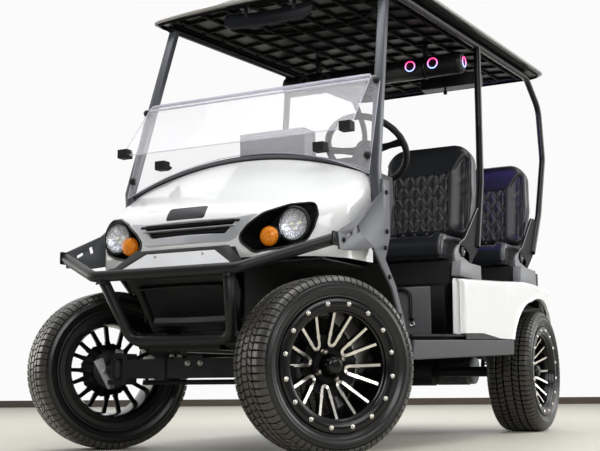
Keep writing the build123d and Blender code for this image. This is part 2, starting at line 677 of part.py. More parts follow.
fold = Vector(FREE_EDGE[0] - HINGE[0], 0, FREE_EDGE[1] - HINGE[1])
fold_plane = Plane(origin=(HINGE[0], 0, HINGE[1]), x_dir=(0, 1, 0), z_dir=fold.cross(Vector(0, 1, 0)) * -1)
with BuildPart() as windshield_upper:
    with BuildSketch(fold_plane):
        with Locations((0, fold.length / 2)):
            RectangleRounded(2 * GLASS_Y, fold.length, 18)
    extrude(amount=-GLASS_T)
    # hinge bead along the lower glass
    with Locations(Location((HINGE[0], 0, HINGE[1]), (90, 0, 0))):
        Cylinder(HINGE_R - RUN, 2 * GLASS_Y - 70)
write("windshield_upper", windshield_upper.part)

clips = []
for x, y, z, reach_x in ((FREE_EDGE[0] + 2, 477, FREE_EDGE[1] + 8, 0), (928, 343, 1070, 868)):
    with BuildPart() as clip:
        with Locations((x, y, z)):
            Box(40, 44, 34)
        if reach_x:
            with Locations(((x + reach_x) / 2, y, z)):
                Box(x - reach_x, 16, 12)
    clips += [clip.part, clip.part.mirror(Plane.XZ)]
with BuildPart() as clip_cut:
    add(windshield_upper.part)
    add(windshield_lower.part)
trimmed = [Part() + solid for clip in clips for solid in (clip - clip_cut.part).solids() if solid.volume > 2000]
write("windshield_clips", Compound(children=trimmed))

# ---- Roof and its frame -------------------------------------------------------------------------
def rail_at(x, y=RAIL_Y):
    return (x, y, RAIL_Z - ROOF_CLIMB * x)


MID_STRUT_FOOT = (-215, STRUT_Y, CUSHION_Z + 87)
REAR_STRUT_FOOT = (-230 - ROW_PITCH, STRUT_Y, CUSHION_Z + ROW_RISE + 95)
rear_bow_line = bent([rail_at(655), rail_at(-335 - ROW_PITCH), (-500 - ROW_PITCH, STRUT_Y - 15, RAIL_Z - 65),
                      (-507 - ROW_PITCH, STRUT_Y - 5, RAIL_Z - 345), (-370 - ROW_PITCH, STRUT_Y, CUSHION_Z + 365),
                      REAR_STRUT_FOOT], 110)
rear_bow = tube(rear_bow_line, STRUT_R)
mid_strut = tube(bent([rail_at(-393), (-362, RAIL_Y + 8, RAIL_Z - 375), (-310, STRUT_Y - 6, CUSHION_Z + 395), MID_STRUT_FOOT],
                      160), STRUT_R)
# the middle strut is coped to sit under the rail
mid_strut = mid_strut - tube(rear_bow_line, STRUT_R + RUN)
write("roof_struts", Compound(children=[tubing.mirror(Plane.XZ) if flip else tubing
                                        for flip in (0, 1) for tubing in (rear_bow, mid_strut)]))

with BuildPart() as roof:
    with BuildSketch(Plane.YZ.offset(ROOF_REAR_X - 40)):
        base = roof_under(ROOF_REAR_X - 40)
        with BuildLine():
            under = ThreePointArc((-470, base), (0, base + 26), (470, base))
            crown = ThreePointArc((-600, base + ROOF_EDGE_T), (0, base + ROOF_EDGE_T + ROOF_CROWN),
                                  (600, base + ROOF_EDGE_T))
            Polyline(under @ 1, (600, base), crown @ 1)
            Polyline(under @ 0, (-600, base), crown @ 0)
        make_face()
    extrude(amount=2300, dir=Vector(1, 0, -ROOF_CLIMB).normalized())
    with BuildSketch(Plane.XY.offset(RAIL_Z - 265), mode=Mode.PRIVATE) as outline:
        with BuildLine():
            tail = Line((ROOF_REAR_X, -ROOF_Y), (ROOF_REAR_X, ROOF_Y))
            left = Line(tail @ 1, (ROOF_FRONT_X - 70, ROOF_Y))
            brow = ThreePointArc(left @ 1, (ROOF_FRONT_X, 0), (ROOF_FRONT_X - 70, -ROOF_Y))
            Line(brow @ 1, tail @ 0)
        make_face()
        fillet(vertices(), 90)
    extrude(outline.sketch, amount=600, mode=Mode.INTERSECT)
write("roof", roof.part)

MIRROR = (662, RAIL_Z - 75)
with BuildPart() as rear_view_mirror:
    with BuildSketch(Plane.XY.offset(MIRROR[1] - 32)):
        with BuildLine():
            face = ThreePointArc((MIRROR[0] + 30, -200), (MIRROR[0], 0), (MIRROR[0] + 30, 200))
            back = ThreePointArc((MIRROR[0] + 40, -200), (MIRROR[0] + 16, 0), (MIRROR[0] + 40, 200))
            Line(face @ 0, back @ 0)
            Line(face @ 1, back @ 1)
        make_face()
    extrude(amount=64)
    for side in (1, -1):
        with BuildSketch(Plane.XY.offset(MIRROR[1])):
            with Locations((MIRROR[0] + 22, side * 110)):
                Rectangle(16, 18)
        extrude(until=Until.NEXT, target=roof.part)
write("rear_view_mirror", rear_view_mirror.part)

BAR = (-300, RAIL_Z - 73)
BAR_R = 50
with BuildPart() as sound_bar:
    with Locations(Location((BAR[0], 0, BAR[1]), (90, 0, 0))):
        Cylinder(BAR_R, 930)
    with Locations((BAR[0], 0, BAR[1])):
        with GridLocations(1, 560, 1, 2):
            with Locations((0, 0, 90)):
                Box(50, 40, 110)
    add(roof.part.moved(Location((0, 0, -RUN))), mode=Mode.SUBTRACT)
with BuildPart() as amplifier:
    with Locations((-520, 325, RAIL_Z - 97)):
        Box(80, 290, 60)
    with Locations((-520, 325, RAIL_Z - 9)):
        Box(30, 40, 178)
    add(roof.part.moved(Location((0, 0, -RUN))), mode=Mode.SUBTRACT)
write("sound_bar", Compound(children=[sound_bar.part, amplifier.part]))

# ---- Rear body and seats ------------------------------------------------------------------------
# wheel arch, as distances ahead of and above the wheel's centre for the tyre's radius
ARCH_GROWTH = TYRE_R / 288
ARCH_LINE = tuple((REAR_AXLE_X + ARCH_GROWTH * dx, AXLE_Z + ARCH_GROWTH * dz) for dx, dz in (
    (445, 137), (370, 252), (215, 318), (35, 344), (-135, 319), (-250, 247), (-307, 112)))


REAR_BASE_BACK = -370 - ROW_PITCH


def shoulder(x):
    """Top of the rear body's sides at station x."""
    share = (BODY_FRONT_X - x) / (BODY_FRONT_X - SHOULDER_KNEE_X)
    return BODY_TOP_FRONT_Z + (BODY_TOP_REAR_Z - BODY_TOP_FRONT_Z) * min(1, share)


def tail_block(inset):
    """The rear body as a block: side view, plan and shouldered front view intersected."""
    low = 200 if inset else 0
    with BuildPart() as block:
        with BuildSketch(side_view(-800)):
            with BuildLine():
                Polyline((BODY_FRONT_X - inset, sill(BODY_FRONT_X, FLOOR_RISE + RUN)[1] - low),
                         (BODY_FRONT_X - inset, shoulder(BODY_FRONT_X) - inset), (SHOULDER_KNEE_X, BODY_TOP_REAR_Z - inset),
                         (BODY_REAR_X + inset, BODY_TOP_REAR_Z - inset), (BODY_REAR_X + inset, 430 - low),
                         (-330, 430 - low), (-330, sill(-330, FLOOR_RISE + RUN)[1] - low),
                         close=True)
            make_face()
        extrude(amount=-1600)
        with BuildSketch(Plane.XY.offset(100), mode=Mode.PRIVATE) as plan:
            with BuildLine():
                side = Polyline((BODY_FRONT_X, 598 - inset), (-420, 600 - inset))
                flare = ThreePointArc(side @ 1, (REAR_AXLE_X + 135, 622 - inset), (REAR_AXLE_X - 185, 590 - inset))
                corner = ThreePointArc(flare @ 1, (BODY_REAR_X + 100 + inset, 520 - inset), (BODY_REAR_X + inset, 400 - inset))
                Line(corner @ 1, (BODY_REAR_X + inset, 0))
                mirror(about=Plane.XZ)
                Line((BODY_FRONT_X, 598 - inset), (BODY_FRONT_X, inset - 598))
            make_face()
        extrude(plan.sketch, amount=900, mode=Mode.INTERSECT)
    return block.part


with BuildPart() as rear_body:
    add(tail_block(0))
    add(tail_block(SHEET), mode=Mode.SUBTRACT)
    # wheel arches
    with BuildSketch(side_view(-800)):
        with BuildLine():
            ThreePointArc(*ARCH_LINE[0:3])
            ThreePointArc(*ARCH_LINE[2:5])
            ThreePointArc(*ARCH_LINE[4:7])
            Polyline(ARCH_LINE[6], (ARCH_LINE[6][0], 100), (ARCH_LINE[0][0], 100), ARCH_LINE[0])
        make_face()
    extrude(amount=-1600, mode=Mode.SUBTRACT)
    # open middle for the seats and the rear footwell
    with Locations((REAR_BASE_BACK - 10, 0, 700)):
        Box(BODY_FRONT_X - REAR_BASE_BACK + 110, 2 * (INNER_Y + 5), 700, align=(Align.MIN, Align.CENTER, Align.CENTER),
            mode=Mode.SUBTRACT)
write("rear_body", rear_body.part)

SEAT_WALL = 5
SEAT_WALL_X = CUSHION_FRONT_X - CUSHION_DEPTH      # back wall of the front seat base
BASE_TOP = CUSHION_Z - RUN
with BuildPart() as front_base:
    with BuildSketch(side_view(-INNER_Y)):
        with BuildLine():
            Polyline(sill(BODY_FRONT_X, FLOOR_RISE + RUN), sill(SEAT_WALL_X, FLOOR_RISE + RUN), (SEAT_WALL_X, BASE_TOP),
                     (90, BASE_TOP), (110, CUSHION_Z - 95), (BODY_FRONT_X, CUSHION_Z - 109), close=True)
        make_face()
    extrude(amount=-2 * INNER_Y)
    with BuildSketch(side_view(SEAT_WALL - INNER_Y)):
        with BuildLine():
            Polyline((BODY_FRONT_X - 5, 300), (SEAT_WALL_X + 5, 300), (SEAT_WALL_X + 5, BASE_TOP - 5), (85, BASE_TOP - 5),
                     (105, CUSHION_Z - 101), (BODY_FRONT_X - 5, CUSHION_Z - 115), close=True)
        make_face()
    extrude(amount=2 * (SEAT_WALL - INNER_Y), mode=Mode.SUBTRACT)
    # the battery's hatch under the cushion
    with Locations((-70, 0, BASE_TOP)):
        Box(250, 700, 40, mode=Mode.SUBTRACT)
REAR_BASE_FRONT = BODY_FRONT_X - ROW_PITCH
REAR_BASE_TOP = BASE_TOP + ROW_RISE
REAR_BASE_LOW = SEAT_BEAM_Z + SEAT_BEAM_H / 2
rear_nose = REAR_BASE_LOW + 0.44 * (REAR_BASE_TOP - REAR_BASE_LOW)      # under the cushion's front edge
with BuildPart() as rear_base:
    with BuildSketch(side_view(-INNER_Y)):
        with BuildLine():
            Polyline((REAR_BASE_FRONT + 5, REAR_BASE_LOW), (REAR_BASE_BACK, REAR_BASE_LOW), (REAR_BASE_BACK, REAR_BASE_TOP),
                     (90 - ROW_PITCH, REAR_BASE_TOP), (110 - ROW_PITCH, rear_nose), (REAR_BASE_FRONT + 5, rear_nose - 10),
                     close=True)
        make_face()
    extrude(amount=-2 * INNER_Y)
    with BuildSketch(side_view(SEAT_WALL - INNER_Y)):
        with BuildLine():
            Polyline((REAR_BASE_FRONT, REAR_BASE_LOW + 5), (REAR_BASE_BACK + 5, REAR_BASE_LOW + 5),
                     (REAR_BASE_BACK + 5, REAR_BASE_TOP - 5), (85 - ROW_PITCH, REAR_BASE_TOP - 5),
                     (105 - ROW_PITCH, rear_nose - 5), (REAR_BASE_FRONT, rear_nose - 15), close=True)
        make_face()
    extrude(amount=2 * (SEAT_WALL - INNER_Y), mode=Mode.SUBTRACT)
    with Locations((-75 - ROW_PITCH, 0, REAR_BASE_TOP)):
        Box(250, 700, 40, mode=Mode.SUBTRACT)
    # kick panel down to the floor, between the wheels
    with Locations((REAR_BASE_FRONT + 2, 0, REAR_BASE_LOW - 80)):
        Box(6, 740, 164)
    split(bisect_by=Plane(origin=(0, 0, SILL_Z + FLOOR_RISE + RUN), z_dir=(tan(radians(RAKE)), 0, 1)), keep=Keep.TOP)
write("seat_bases", Compound(children=[front_base.part, rear_base.part]))


def cushion(front_x, base_z):
    """A seat's bottom cushion: a rounded slab."""
    with BuildPart() as pad:
        with Locations((front_x - CUSHION_DEPTH / 2, 0, base_z + CUSHION_T / 2)):
            Box(CUSHION_DEPTH, 2 * CUSHION_Y, CUSHION_T)
        fillet(pad.edges().filter_by(Axis.Z), 45)
        fillet(pad.edges().group_by(Axis.Z)[-1], 26)
    return pad.part


write("front_seat_cushion", cushion(CUSHION_FRONT_X, CUSHION_Z))
write("rear_seat_cushion", cushion(CUSHION_FRONT_X - ROW_PITCH, CUSHION_Z + ROW_RISE))

STAY_T = 10
STAY_W = 80
STAY_UP = 225
STAY_FOOT_Z = CUSHION_Z - 23
backs = []
for row in (0, 1):
    foot = Plane(origin=(BACK_FOOT[0] - row * ROW_PITCH, BACK_Y, BACK_FOOT[1] + row * ROW_RISE),
                 x_dir=(0, 1, 0), z_dir=(sin(radians(90 - BACK_LEAN)), 0, sin(radians(BACK_LEAN))))
    with BuildPart() as seat_back:
        with BuildSketch(foot.offset(-BACK_T)):
            with Locations((0, BACK_H / 2)):
                RectangleRounded(BACK_W, BACK_H, 60)
        extrude(amount=BACK_T)
        fillet(seat_back.edges().group_by(Axis(foot.origin, foot.z_dir))[-1], 28)
    with BuildPart() as stay:
        # steel stay up behind the pad; the rear one stands on its seat base, the front one is bent to the base's back wall
        low_z = REAR_BASE_TOP + RUN if row else STAY_FOOT_Z
        front = [foot.offset(-BACK_T - RUN).from_local_coords((0, up)) for up in (STAY_UP, 0)]
        drop = (front[1].Z - low_z) * tan(radians(BACK_LEAN))
        face = [(front[0].X, front[0].Z), (front[1].X + drop, low_z)]
        wall = SEAT_WALL_X - RUN
        toe = [] if row else [(wall, low_z), (wall, low_z - 70), (wall - STAY_T, low_z - 70), (wall - STAY_T, low_z - STAY_T)]
        back = (face[1][0] - STAY_T, low_z - (0 if row else STAY_T))
        with BuildSketch(side_view(BACK_Y - STAY_W / 2)):
            with BuildLine():
                Polyline(*face, *toe, back, (face[0][0] - STAY_T, face[0][1]), close=True)
            make_face()
        extrude(amount=-STAY_W)
    backs += [seat_back.part, seat_back.part.mirror(Plane.XZ)]
    backs += [stay.part, stay.part.mirror(Plane.XZ)]
write("seat_backs", Compound(children=backs))

restraints = []
HIP_Y0 = INNER_Y + 2
HIP_BASE_MIN = 25
for row in (0, 1):
    dx = -row * ROW_PITCH
    dz = row * ROW_RISE
    floor_z = max(shoulder(-150 + dx), shoulder(170 + dx)) + RUN
    plate_z = max(CUSHION_Z - 5 + dz, floor_z + HIP_BASE_MIN)
    strut_foot = MID_STRUT_FOOT if row == 0 else REAR_STRUT_FOOT
    with BuildPart() as hip:
        # boxed base on the body's shoulder
        with BuildSketch(side_view(HIP_Y0)):
            with BuildLine():
                Polyline((170 + dx, floor_z), (-150 + dx, floor_z), (-150 + dx, plate_z + 5), (150 + dx, plate_z + 5),
                         close=True)
            make_face()
        extrude(amount=-42)
        # rounded plate and the arm that takes the strut
        with BuildSketch(side_view(HIP_Y0)):
            with BuildLine():
                Polyline((115 + dx, plate_z), (-140 + dx, plate_z), (-140 + dx, plate_z + 70),
                         (strut_foot[0] - 36, strut_foot[2] + 118), (strut_foot[0] + 16, strut_foot[2] + 118),
                         (40 + dx, plate_z + 85), (110 + dx, plate_z + 60), close=True)
            make_face()
        extrude(amount=-12)
    with BuildPart() as strut_space:
        add(mid_strut if row == 0 else rear_bow)
    hip_part = hip.part - strut_space.part
    restraints += [hip_part, hip_part.mirror(Plane.XZ)]
write("hip_restraints", Compound(children=restraints))

BUMPER_BACK_X = BODY_REAR_X - 38
BUMPER_D = 32
with BuildPart() as rear_bumper:
    with Locations((BUMPER_BACK_X + BUMPER_D / 2, 0, 455)):
        Box(BUMPER_D, 960, 80)
    fillet(rear_bumper.edges().filter_by(Axis.Z), 12)
    for side in (1, -1):
        with Locations((FRAME_REAR_X - RUN, side * FRAME_Y, 406)):
            Box(FRAME_REAR_X - RUN - BUMPER_BACK_X - BUMPER_D / 2, 50, 38, align=(Align.MAX, Align.CENTER, Align.CENTER))
write("rear_bumper", rear_bumper.part)

with BuildPart() as tail_light:
    with Locations((BODY_REAR_X - 7 - RUN, 360, 620)):
        Box(14, 110, 46)
    fillet(tail_light.edges().filter_by(Axis.X), 14)
write("tail_lights", mirrored(tail_light.part))

# ---- Wheels, knuckles and tie rod ---------------------------------------------------------------
SPOKES = 16
with BuildPart() as tyre:
    with BuildSketch(Plane.XZ):
        with BuildLine():
            tread = Line((TYRE_R, -84), (TYRE_R, 84))
            outer_top = ThreePointArc(tread @ 1, (TYRE_R - 7, 99), (TYRE_R - 26, 104))
            outer_side = ThreePointArc(outer_top @ 1, (TYRE_R - 43, TYRE_W / 2), (RING_R + 1, BEAD_W - 1))
            outer_bead = Polyline(outer_side @ 1, (BEAD_R + RUN, BEAD_W - 1), (BEAD_R + RUN, BEAD_W - 19),
                                  (RING_R, BEAD_W - 16), (TYRE_R - 38, 90), (TYRE_R - 18, 82))
            inner_bead = Polyline((TYRE_R - 18, -82), (TYRE_R - 38, -90), (RING_R, 16 - BEAD_W), (BEAD_R + RUN, 19 - BEAD_W),
                                  (BEAD_R + RUN, 1 - BEAD_W), (RING_R + 1, 1 - BEAD_W))
            inner_side = ThreePointArc(inner_bead @ 1, (TYRE_R - 43, -TYRE_W / 2), (TYRE_R - 26, -104))
            inner_top = ThreePointArc(inner_side @ 1, (TYRE_R - 7, -99), tread @ 0)
            Line(outer_bead @ 1, inner_bead @ 0)
        make_face()
    revolve(axis=Axis.Z)

with BuildPart() as rim:
    with BuildSketch(Plane.XZ):
        with BuildLine():
            Polyline((BEAD_R, BEAD_W), (RING_R, BEAD_W), (RING_R, BEAD_W + RING_T), (174, BEAD_W + RING_T),
                     (166, 78), (166, -70), (170, -BEAD_W - 6), (FLANGE_R, -BEAD_W - 6), (FLANGE_R, -BEAD_W),
                     (BEAD_R, -BEAD_W), close=True)
        make_face()
    revolve(axis=Axis.Z)
    with BuildSketch(Plane.XY.offset(6)):
        Circle(HUB_R)
        Circle(SPINDLE_R + RUN, mode=Mode.SUBTRACT)
    extrude(amount=HUB_FACE - 16)
    with BuildSketch(Plane.XY.offset(HUB_FACE - 10)):
        Circle(HUB_R)
    extrude(amount=10)
    with BuildSketch(Plane.XY.offset(HUB_FACE)):
        Circle(CAP_R)
    extrude(amount=CAP_L)
    # spokes in pairs that meet at the hub
    with BuildSketch(Plane.XZ.offset(-7)) as spoke_side:
        with BuildLine():
            Polyline((HUB_R - 8, HUB_FACE - 22), (HUB_R - 8, HUB_FACE - 4), (110, 45), (169, 74), (169, 50),
                     (110, 22), close=True)
        make_face()
    spoke = extrude(amount=14, mode=Mode.PRIVATE)
    for n in range(SPOKES // 2):
        for lean in (-1, 1):
            turn = 360 / (SPOKES // 2) * n + lean * 360 / SPOKES / 2
            add(spoke.moved(Location((0, 0, 0), (0, 0, turn))))


def wheel_plane(x, y, steer):
    """A wheel's own frame: z outwards along its axle."""
    side = 1 if y > 0 else -1
    turn = radians(steer)
    return Plane(origin=(x, y, AXLE_Z), x_dir=(cos(turn), -sin(turn), 0), z_dir=(side * sin(turn), side * cos(turn), 0))


reach = Vector(sin(radians(LOCK)), cos(radians(LOCK)), 0) * KINGPIN_TO_WHEEL
wheels = {
    "left_front": wheel_plane(FRONT_AXLE_X + reach.X, KINGPIN_Y + reach.Y, LOCK),
    "right_front": wheel_plane(FRONT_AXLE_X - reach.X, -KINGPIN_Y - reach.Y, LOCK),
    "left_rear": wheel_plane(REAR_AXLE_X, REAR_HALF_TRACK, 0),
    "right_rear": wheel_plane(REAR_AXLE_X, -REAR_HALF_TRACK, 0),
}
for corner, plane in wheels.items():
    write(f"{corner}_tyre", tyre.part.moved(plane.location))
    write(f"{corner}_rim", rim.part.moved(plane.location))

arm_dir = Vector(-cos(radians(LOCK)), sin(radians(LOCK)), 0)
for name, side in (("left_knuckle", 1), ("right_knuckle", -1)):
    pin = Vector(FRONT_AXLE_X, side * KINGPIN_Y, AXLE_Z)
    out = reach.normalized() * side
    end = pin + arm_dir * ARM
    with BuildPart() as knuckle:
        with Locations(pin):
            Cylinder(KINGPIN_R, EAR_GAP + 2 * EAR_T + 8)
            Cylinder(26, EAR_GAP - 6)
        with BuildSketch(Plane(origin=pin, z_dir=out)):
            Circle(SPINDLE_R)
        extrude(amount=KINGPIN_TO_WHEEL + HUB_FACE - 14)
        with BuildSketch(Plane(origin=pin + out * 66, z_dir=out)):
            Circle(72)
        extrude(amount=6)
        with BuildSketch(Plane(origin=pin + out * 15, z_dir=out)):
            Circle(30)
        extrude(amount=52)
        # steering arm with its ball stud hanging below
        with Locations(Location((pin + end) / 2 - Vector(0, 0, 18), (0, 0, 180 - LOCK))):
            Box(ARM, 26, 14)
        with Locations(end - Vector(0, 0, 18)):
            Cylinder(15, 14)
        with Locations(end - Vector(0, 0, 40)):
            Cylinder(6, 36)
    write(name, knuckle.part)

with BuildPart() as tie_rod:
    ends = [Vector(FRONT_AXLE_X, side * KINGPIN_Y, AXLE_Z - TIE_ROD_DROP) + arm_dir * ARM for side in (1, -1)]
    with BuildSketch(Plane(origin=ends[0], z_dir=ends[1] - ends[0])):
        Circle(9)
    extrude(amount=(ends[1] - ends[0]).length)
    for end in ends:
        with Locations(end):
            Cylinder(15, 16)
    for end in ends:
        with Locations(end):
            Cylinder(6 + RUN, 40, mode=Mode.SUBTRACT)
write("tie_rod", tie_rod.part)
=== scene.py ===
"""Looks of a four-seat electric golf cart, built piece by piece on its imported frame.

Each section takes one piece, or one group of like pieces, in the order in which the cart is put together.
Points are in millimetres in the cart's own frame, +X forwards and +Y to its left, and are scaled once, as
the mesh is made.
"""
from math import atan2, cos, hypot, pi, radians, sin, tan

import bmesh
import bpy
import numpy as np
from mathutils import Matrix, Vector
from mathutils.bvhtree import BVHTree


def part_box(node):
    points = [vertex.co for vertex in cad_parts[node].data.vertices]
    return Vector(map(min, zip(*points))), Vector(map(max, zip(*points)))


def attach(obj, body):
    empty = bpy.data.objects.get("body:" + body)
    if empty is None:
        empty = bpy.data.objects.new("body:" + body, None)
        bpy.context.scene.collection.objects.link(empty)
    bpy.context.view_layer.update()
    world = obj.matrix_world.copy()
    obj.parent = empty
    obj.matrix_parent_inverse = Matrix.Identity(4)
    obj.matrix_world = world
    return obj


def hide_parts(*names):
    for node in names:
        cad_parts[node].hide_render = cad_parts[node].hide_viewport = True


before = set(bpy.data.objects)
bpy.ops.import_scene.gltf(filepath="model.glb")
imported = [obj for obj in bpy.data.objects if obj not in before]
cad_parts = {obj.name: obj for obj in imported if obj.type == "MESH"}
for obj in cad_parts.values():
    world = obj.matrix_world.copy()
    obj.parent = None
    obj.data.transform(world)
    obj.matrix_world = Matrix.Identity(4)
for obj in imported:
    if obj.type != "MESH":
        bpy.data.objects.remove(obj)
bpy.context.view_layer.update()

# ---- Chassis rails ----
# Two long box-section rails, their cross members and spring hangers, welded up in mild steel.
# They are powder coated satin black, with the welded corners left a little round.
MM = 0.001
X_AXIS, Y_AXIS, Z_AXIS = Vector((1, 0, 0)), Vector((0, 1, 0)), Vector((0, 0, 1))
SIDES = ((1, "left"), (-1, "right"))


def linear(hex_colour):
    """An sRGB hex colour as the linear values that a shader takes."""
    levels = [int(hex_colour[at:at + 2], 16) / 255 for at in (0, 2, 4)]
    return [*(level / 12.92 if level <= 0.04045 else ((level + 0.055) / 1.055) ** 2.4 for level in levels),
            1.0]


def add_node(tree, kind, inputs=None, **settings):
    """One node, with its settings and its inputs, each of which is a value or another node's output."""
    node = tree.nodes.new(kind)
    for key, value in settings.items():
        setattr(node, key, value)
    for key, value in (inputs or {}).items():
        if isinstance(value, bpy.types.NodeSocket):
            tree.links.new(value, node.inputs[key])
        else:
            node.inputs[key].default_value = value
    return node


def feed(shader, sources):
    """Links nodes' outputs to inputs of a shader that is already in its tree."""
    for key, source in sources.items():
        shader.id_data.links.new(source, shader.inputs[key])


def between(tree, share, dark, light):
    """A colour that a pattern mixes from two hex colours."""
    return add_node(tree, "ShaderNodeMix", {"Factor": share, 6: linear(dark), 7: linear(light)},
                    data_type="RGBA").outputs[2]


def ranged(tree, share, low, high, **limits):
    """A value that a pattern moves from low to high."""
    limits = {key.replace("_", " "): limit for key, limit in limits.items()}
    return add_node(tree, "ShaderNodeMapRange",
                    {"Value": share, **limits, "To Min": low, "To Max": high}).outputs[0]


def dented(tree, height, strength, depth):
    """A normal that a pattern dents by a depth in metres."""
    return add_node(tree, "ShaderNodeBump",
                    {"Height": height, "Strength": strength, "Distance": depth}).outputs[0]


def bare_finish(name, hex_colour, roughness, metallic=0.0, **constants):
    """A material of one shader: returns it, its tree, its shader and the piece's own coordinates."""
    finish = bpy.data.materials.new(name)
    finish.use_nodes = True
    tree = finish.node_tree
    tree.nodes.clear()
    shader = add_node(tree, "ShaderNodeBsdfPrincipled", {
        "Base Color": linear(hex_colour), "Roughness": roughness, "Metallic": metallic,
        **{key.replace("_", " "): value for key, value in constants.items()}})
    add_node(tree, "ShaderNodeOutputMaterial", {"Surface": shader.outputs[0]})
    place = add_node(tree, "ShaderNodeTexCoord").outputs["Object"]
    return finish, tree, shader, place


def grained(name, light, dark, roughness, grain, relief, metallic=0.0, drift=0.12, **constants):
    """A moulded or coated surface: its colour and gloss drift over a hand's width, and its grain stands in
    relief. The grain's and the drift's sizes and the relief are in metres."""
    # the grain swallows part of the shine, so its specular level is under a smooth surface's 0.5
    constants = {"Specular_IOR_Level": 0.3, **constants}
    finish, tree, shader, place = bare_finish(name, light, roughness, metallic, **constants)
    clouds = add_node(tree, "ShaderNodeTexNoise",
                      {"Vector": place, "Scale": 1 / drift, "Detail": 3.0}).outputs["Fac"]
    pits = add_node(tree, "ShaderNodeTexNoise",
                    {"Vector": place, "Scale": 1 / grain, "Detail": 2.0}).outputs["Fac"]
    feed(shader, {"Base Color": between(tree, clouds, dark, light),
                  "Roughness": ranged(tree, clouds, roughness * 0.88, min(1.0, roughness * 1.12)),
                  "Normal": dented(tree, pits, 0.6, relief)})
    return finish


def shown(name, mesh, finish, smooth=35):
    """A piece made of that mesh, shaded smooth over corners flatter than the angle."""
    if not mesh.materials:
        mesh.materials.append(finish)
    mesh.shade_smooth()
    mesh.set_sharp_from_angle(angle=radians(smooth))
    piece = bpy.data.objects.new(name, mesh)
    bpy.context.scene.collection.objects.link(piece)
    return piece


def worked(piece):
    """The piece with its modifiers applied, as a plain mesh."""
    depsgraph = bpy.context.evaluated_depsgraph_get()
    mesh = bpy.data.meshes.new_from_object(piece.evaluated_get(depsgraph), preserve_all_data_layers=True,
                                           depsgraph=depsgraph)
    piece.modifiers.clear()
    piece.data = mesh
    return piece


def eased(piece, width, angle=35, segments=2):
    """The piece with its sharper corners rounded to a width in millimetres."""
    bevel = piece.modifiers.new("corners", "BEVEL")
    bevel.width, bevel.segments = width * MM, segments
    bevel.limit_method, bevel.angle_limit = "ANGLE", radians(angle)
    bevel.harden_normals = True
    return worked(piece)


def written(form, mesh):
    """The mesh, with an edited form written to it."""
    form.to_mesh(mesh)
    form.free()
    return mesh


def cad_form(node):
    """A CAD piece's mesh with its facets' shared points merged, to be edited."""
    form = bmesh.new()
    form.from_mesh(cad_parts[node].data)
    bmesh.ops.remove_doubles(form, verts=form.verts, dist=2e-5)
    return form


def flattened(form, degrees):
    """Takes the edges out of a form's flat faces."""
    bmesh.ops.dissolve_limit(form, angle_limit=radians(degrees), verts=form.verts, edges=form.edges)


def softened(node, name, width, finish, angle=35, segments=2):
    """A welded or moulded CAD piece's merged copy, with its corners rounded."""
    form = cad_form(node)
    flattened(form, 0.6)
    return eased(shown(name, written(form, bpy.data.meshes.new(name)), finish), width, angle, segments)


def fitted(piece, body, slot, *stands_for):
    """The piece rides on its body and stands for CAD nodes. The slot is not used."""
    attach(piece, body)
    if stands_for:
        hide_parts(*stands_for)
    return piece


def as_packed(node, name, width, finish, slot, **bevel):
    """A CAD piece fixed to the chassis, shown as it is with its corners rounded."""
    return fitted(softened(node, name, width, finish, **bevel), "chassis", slot, node)


# an even satin black with a fine orange peel, and dust that greys it a little in patches
powder_coat = grained("black_powder_coat", "101114", "090a0c", 0.42, 0.004, 0.00012)
as_packed("frame", "chassis_rails", 4, powder_coat, "frame_black")

# ---- Front beam axle ----
# A box-section beam between two forked kingpin ears, cast and machined, then painted black.
# Its leaf springs and the rear axle's carry the rails on their hangers.
# painted cast iron: dark grey and dull, with the rough skin of sand casting showing through the paint
cast_iron = grained("painted_cast_iron", "2b2d31", "17181b", 0.5, 0.0035, 0.0006, metallic=0.35)
as_packed("front_axle_beam", "front_beam", 5, cast_iron, "axle_cast")
# hot-rolled leaves under black paint that has dulled to a dark grey
spring_steel = grained("painted_spring_steel", "26282c", "121316", 0.45, 0.006, 0.0003, metallic=0.5)
as_packed("leaf_springs", "leaf_packs", 1.5, spring_steel, "spring_steel")


def merged(name, pieces):
    """Several finished pieces of one body, joined into one."""
    form = bmesh.new()
    finishes = []
    for each in pieces:
        start = len(form.faces)
        form.from_mesh(each.data)
        form.faces.ensure_lookup_table()
        for slot in each.data.materials:
            if slot not in finishes:
                finishes.append(slot)
        for face in form.faces[start:]:
            face.material_index = finishes.index(each.data.materials[face.material_index])
    mesh = written(form, bpy.data.meshes.new(name))
    for finish in finishes:
        mesh.materials.append(finish)
    for each in pieces:
        bpy.data.objects.remove(each)
    return shown(name, mesh, finishes[0])


def fixed(name, pieces, slot, *stands_for):
    """Several finished pieces joined into one that is fixed to the chassis."""
    return fitted(merged(name, pieces), "chassis", slot, *stands_for)


def welded(mesh):
    """The mesh with its doubled points merged and its faces turned outwards."""
    form = bmesh.new()
    form.from_mesh(mesh)
    bmesh.ops.remove_doubles(form, verts=form.verts, dist=1e-6)
    bmesh.ops.recalc_face_normals(form, faces=form.faces)
    return written(form, mesh)


def skinned(name, rows, finish, around=False, caps=False, smooth=35):
    """A skin over rows of points. Around closes each row on itself, and caps fill the first and last."""
    width = len(rows[0])
    faces = []
    for row in range(len(rows) - 1):
        for at in range(width if around else width - 1):
            beside = (at + 1) % width
            faces.append((row * width + at, row * width + beside, (row + 1) * width + beside,
                          (row + 1) * width + at))
    if caps:
        faces += [tuple(range(width)), tuple(range((len(rows) - 1) * width, len(rows) * width))]
    mesh = bpy.data.meshes.new(name)
    mesh.from_pydata([Vector(point) * MM for row in rows for point in row], [], faces)
    return shown(name, welded(mesh), finish, smooth)


def bar_of(name, rows, finish, smooth=35):
    """A solid skinned over closed rows, with its two ends filled."""
    return skinned(name, rows, finish, around=True, caps=True, smooth=smooth)


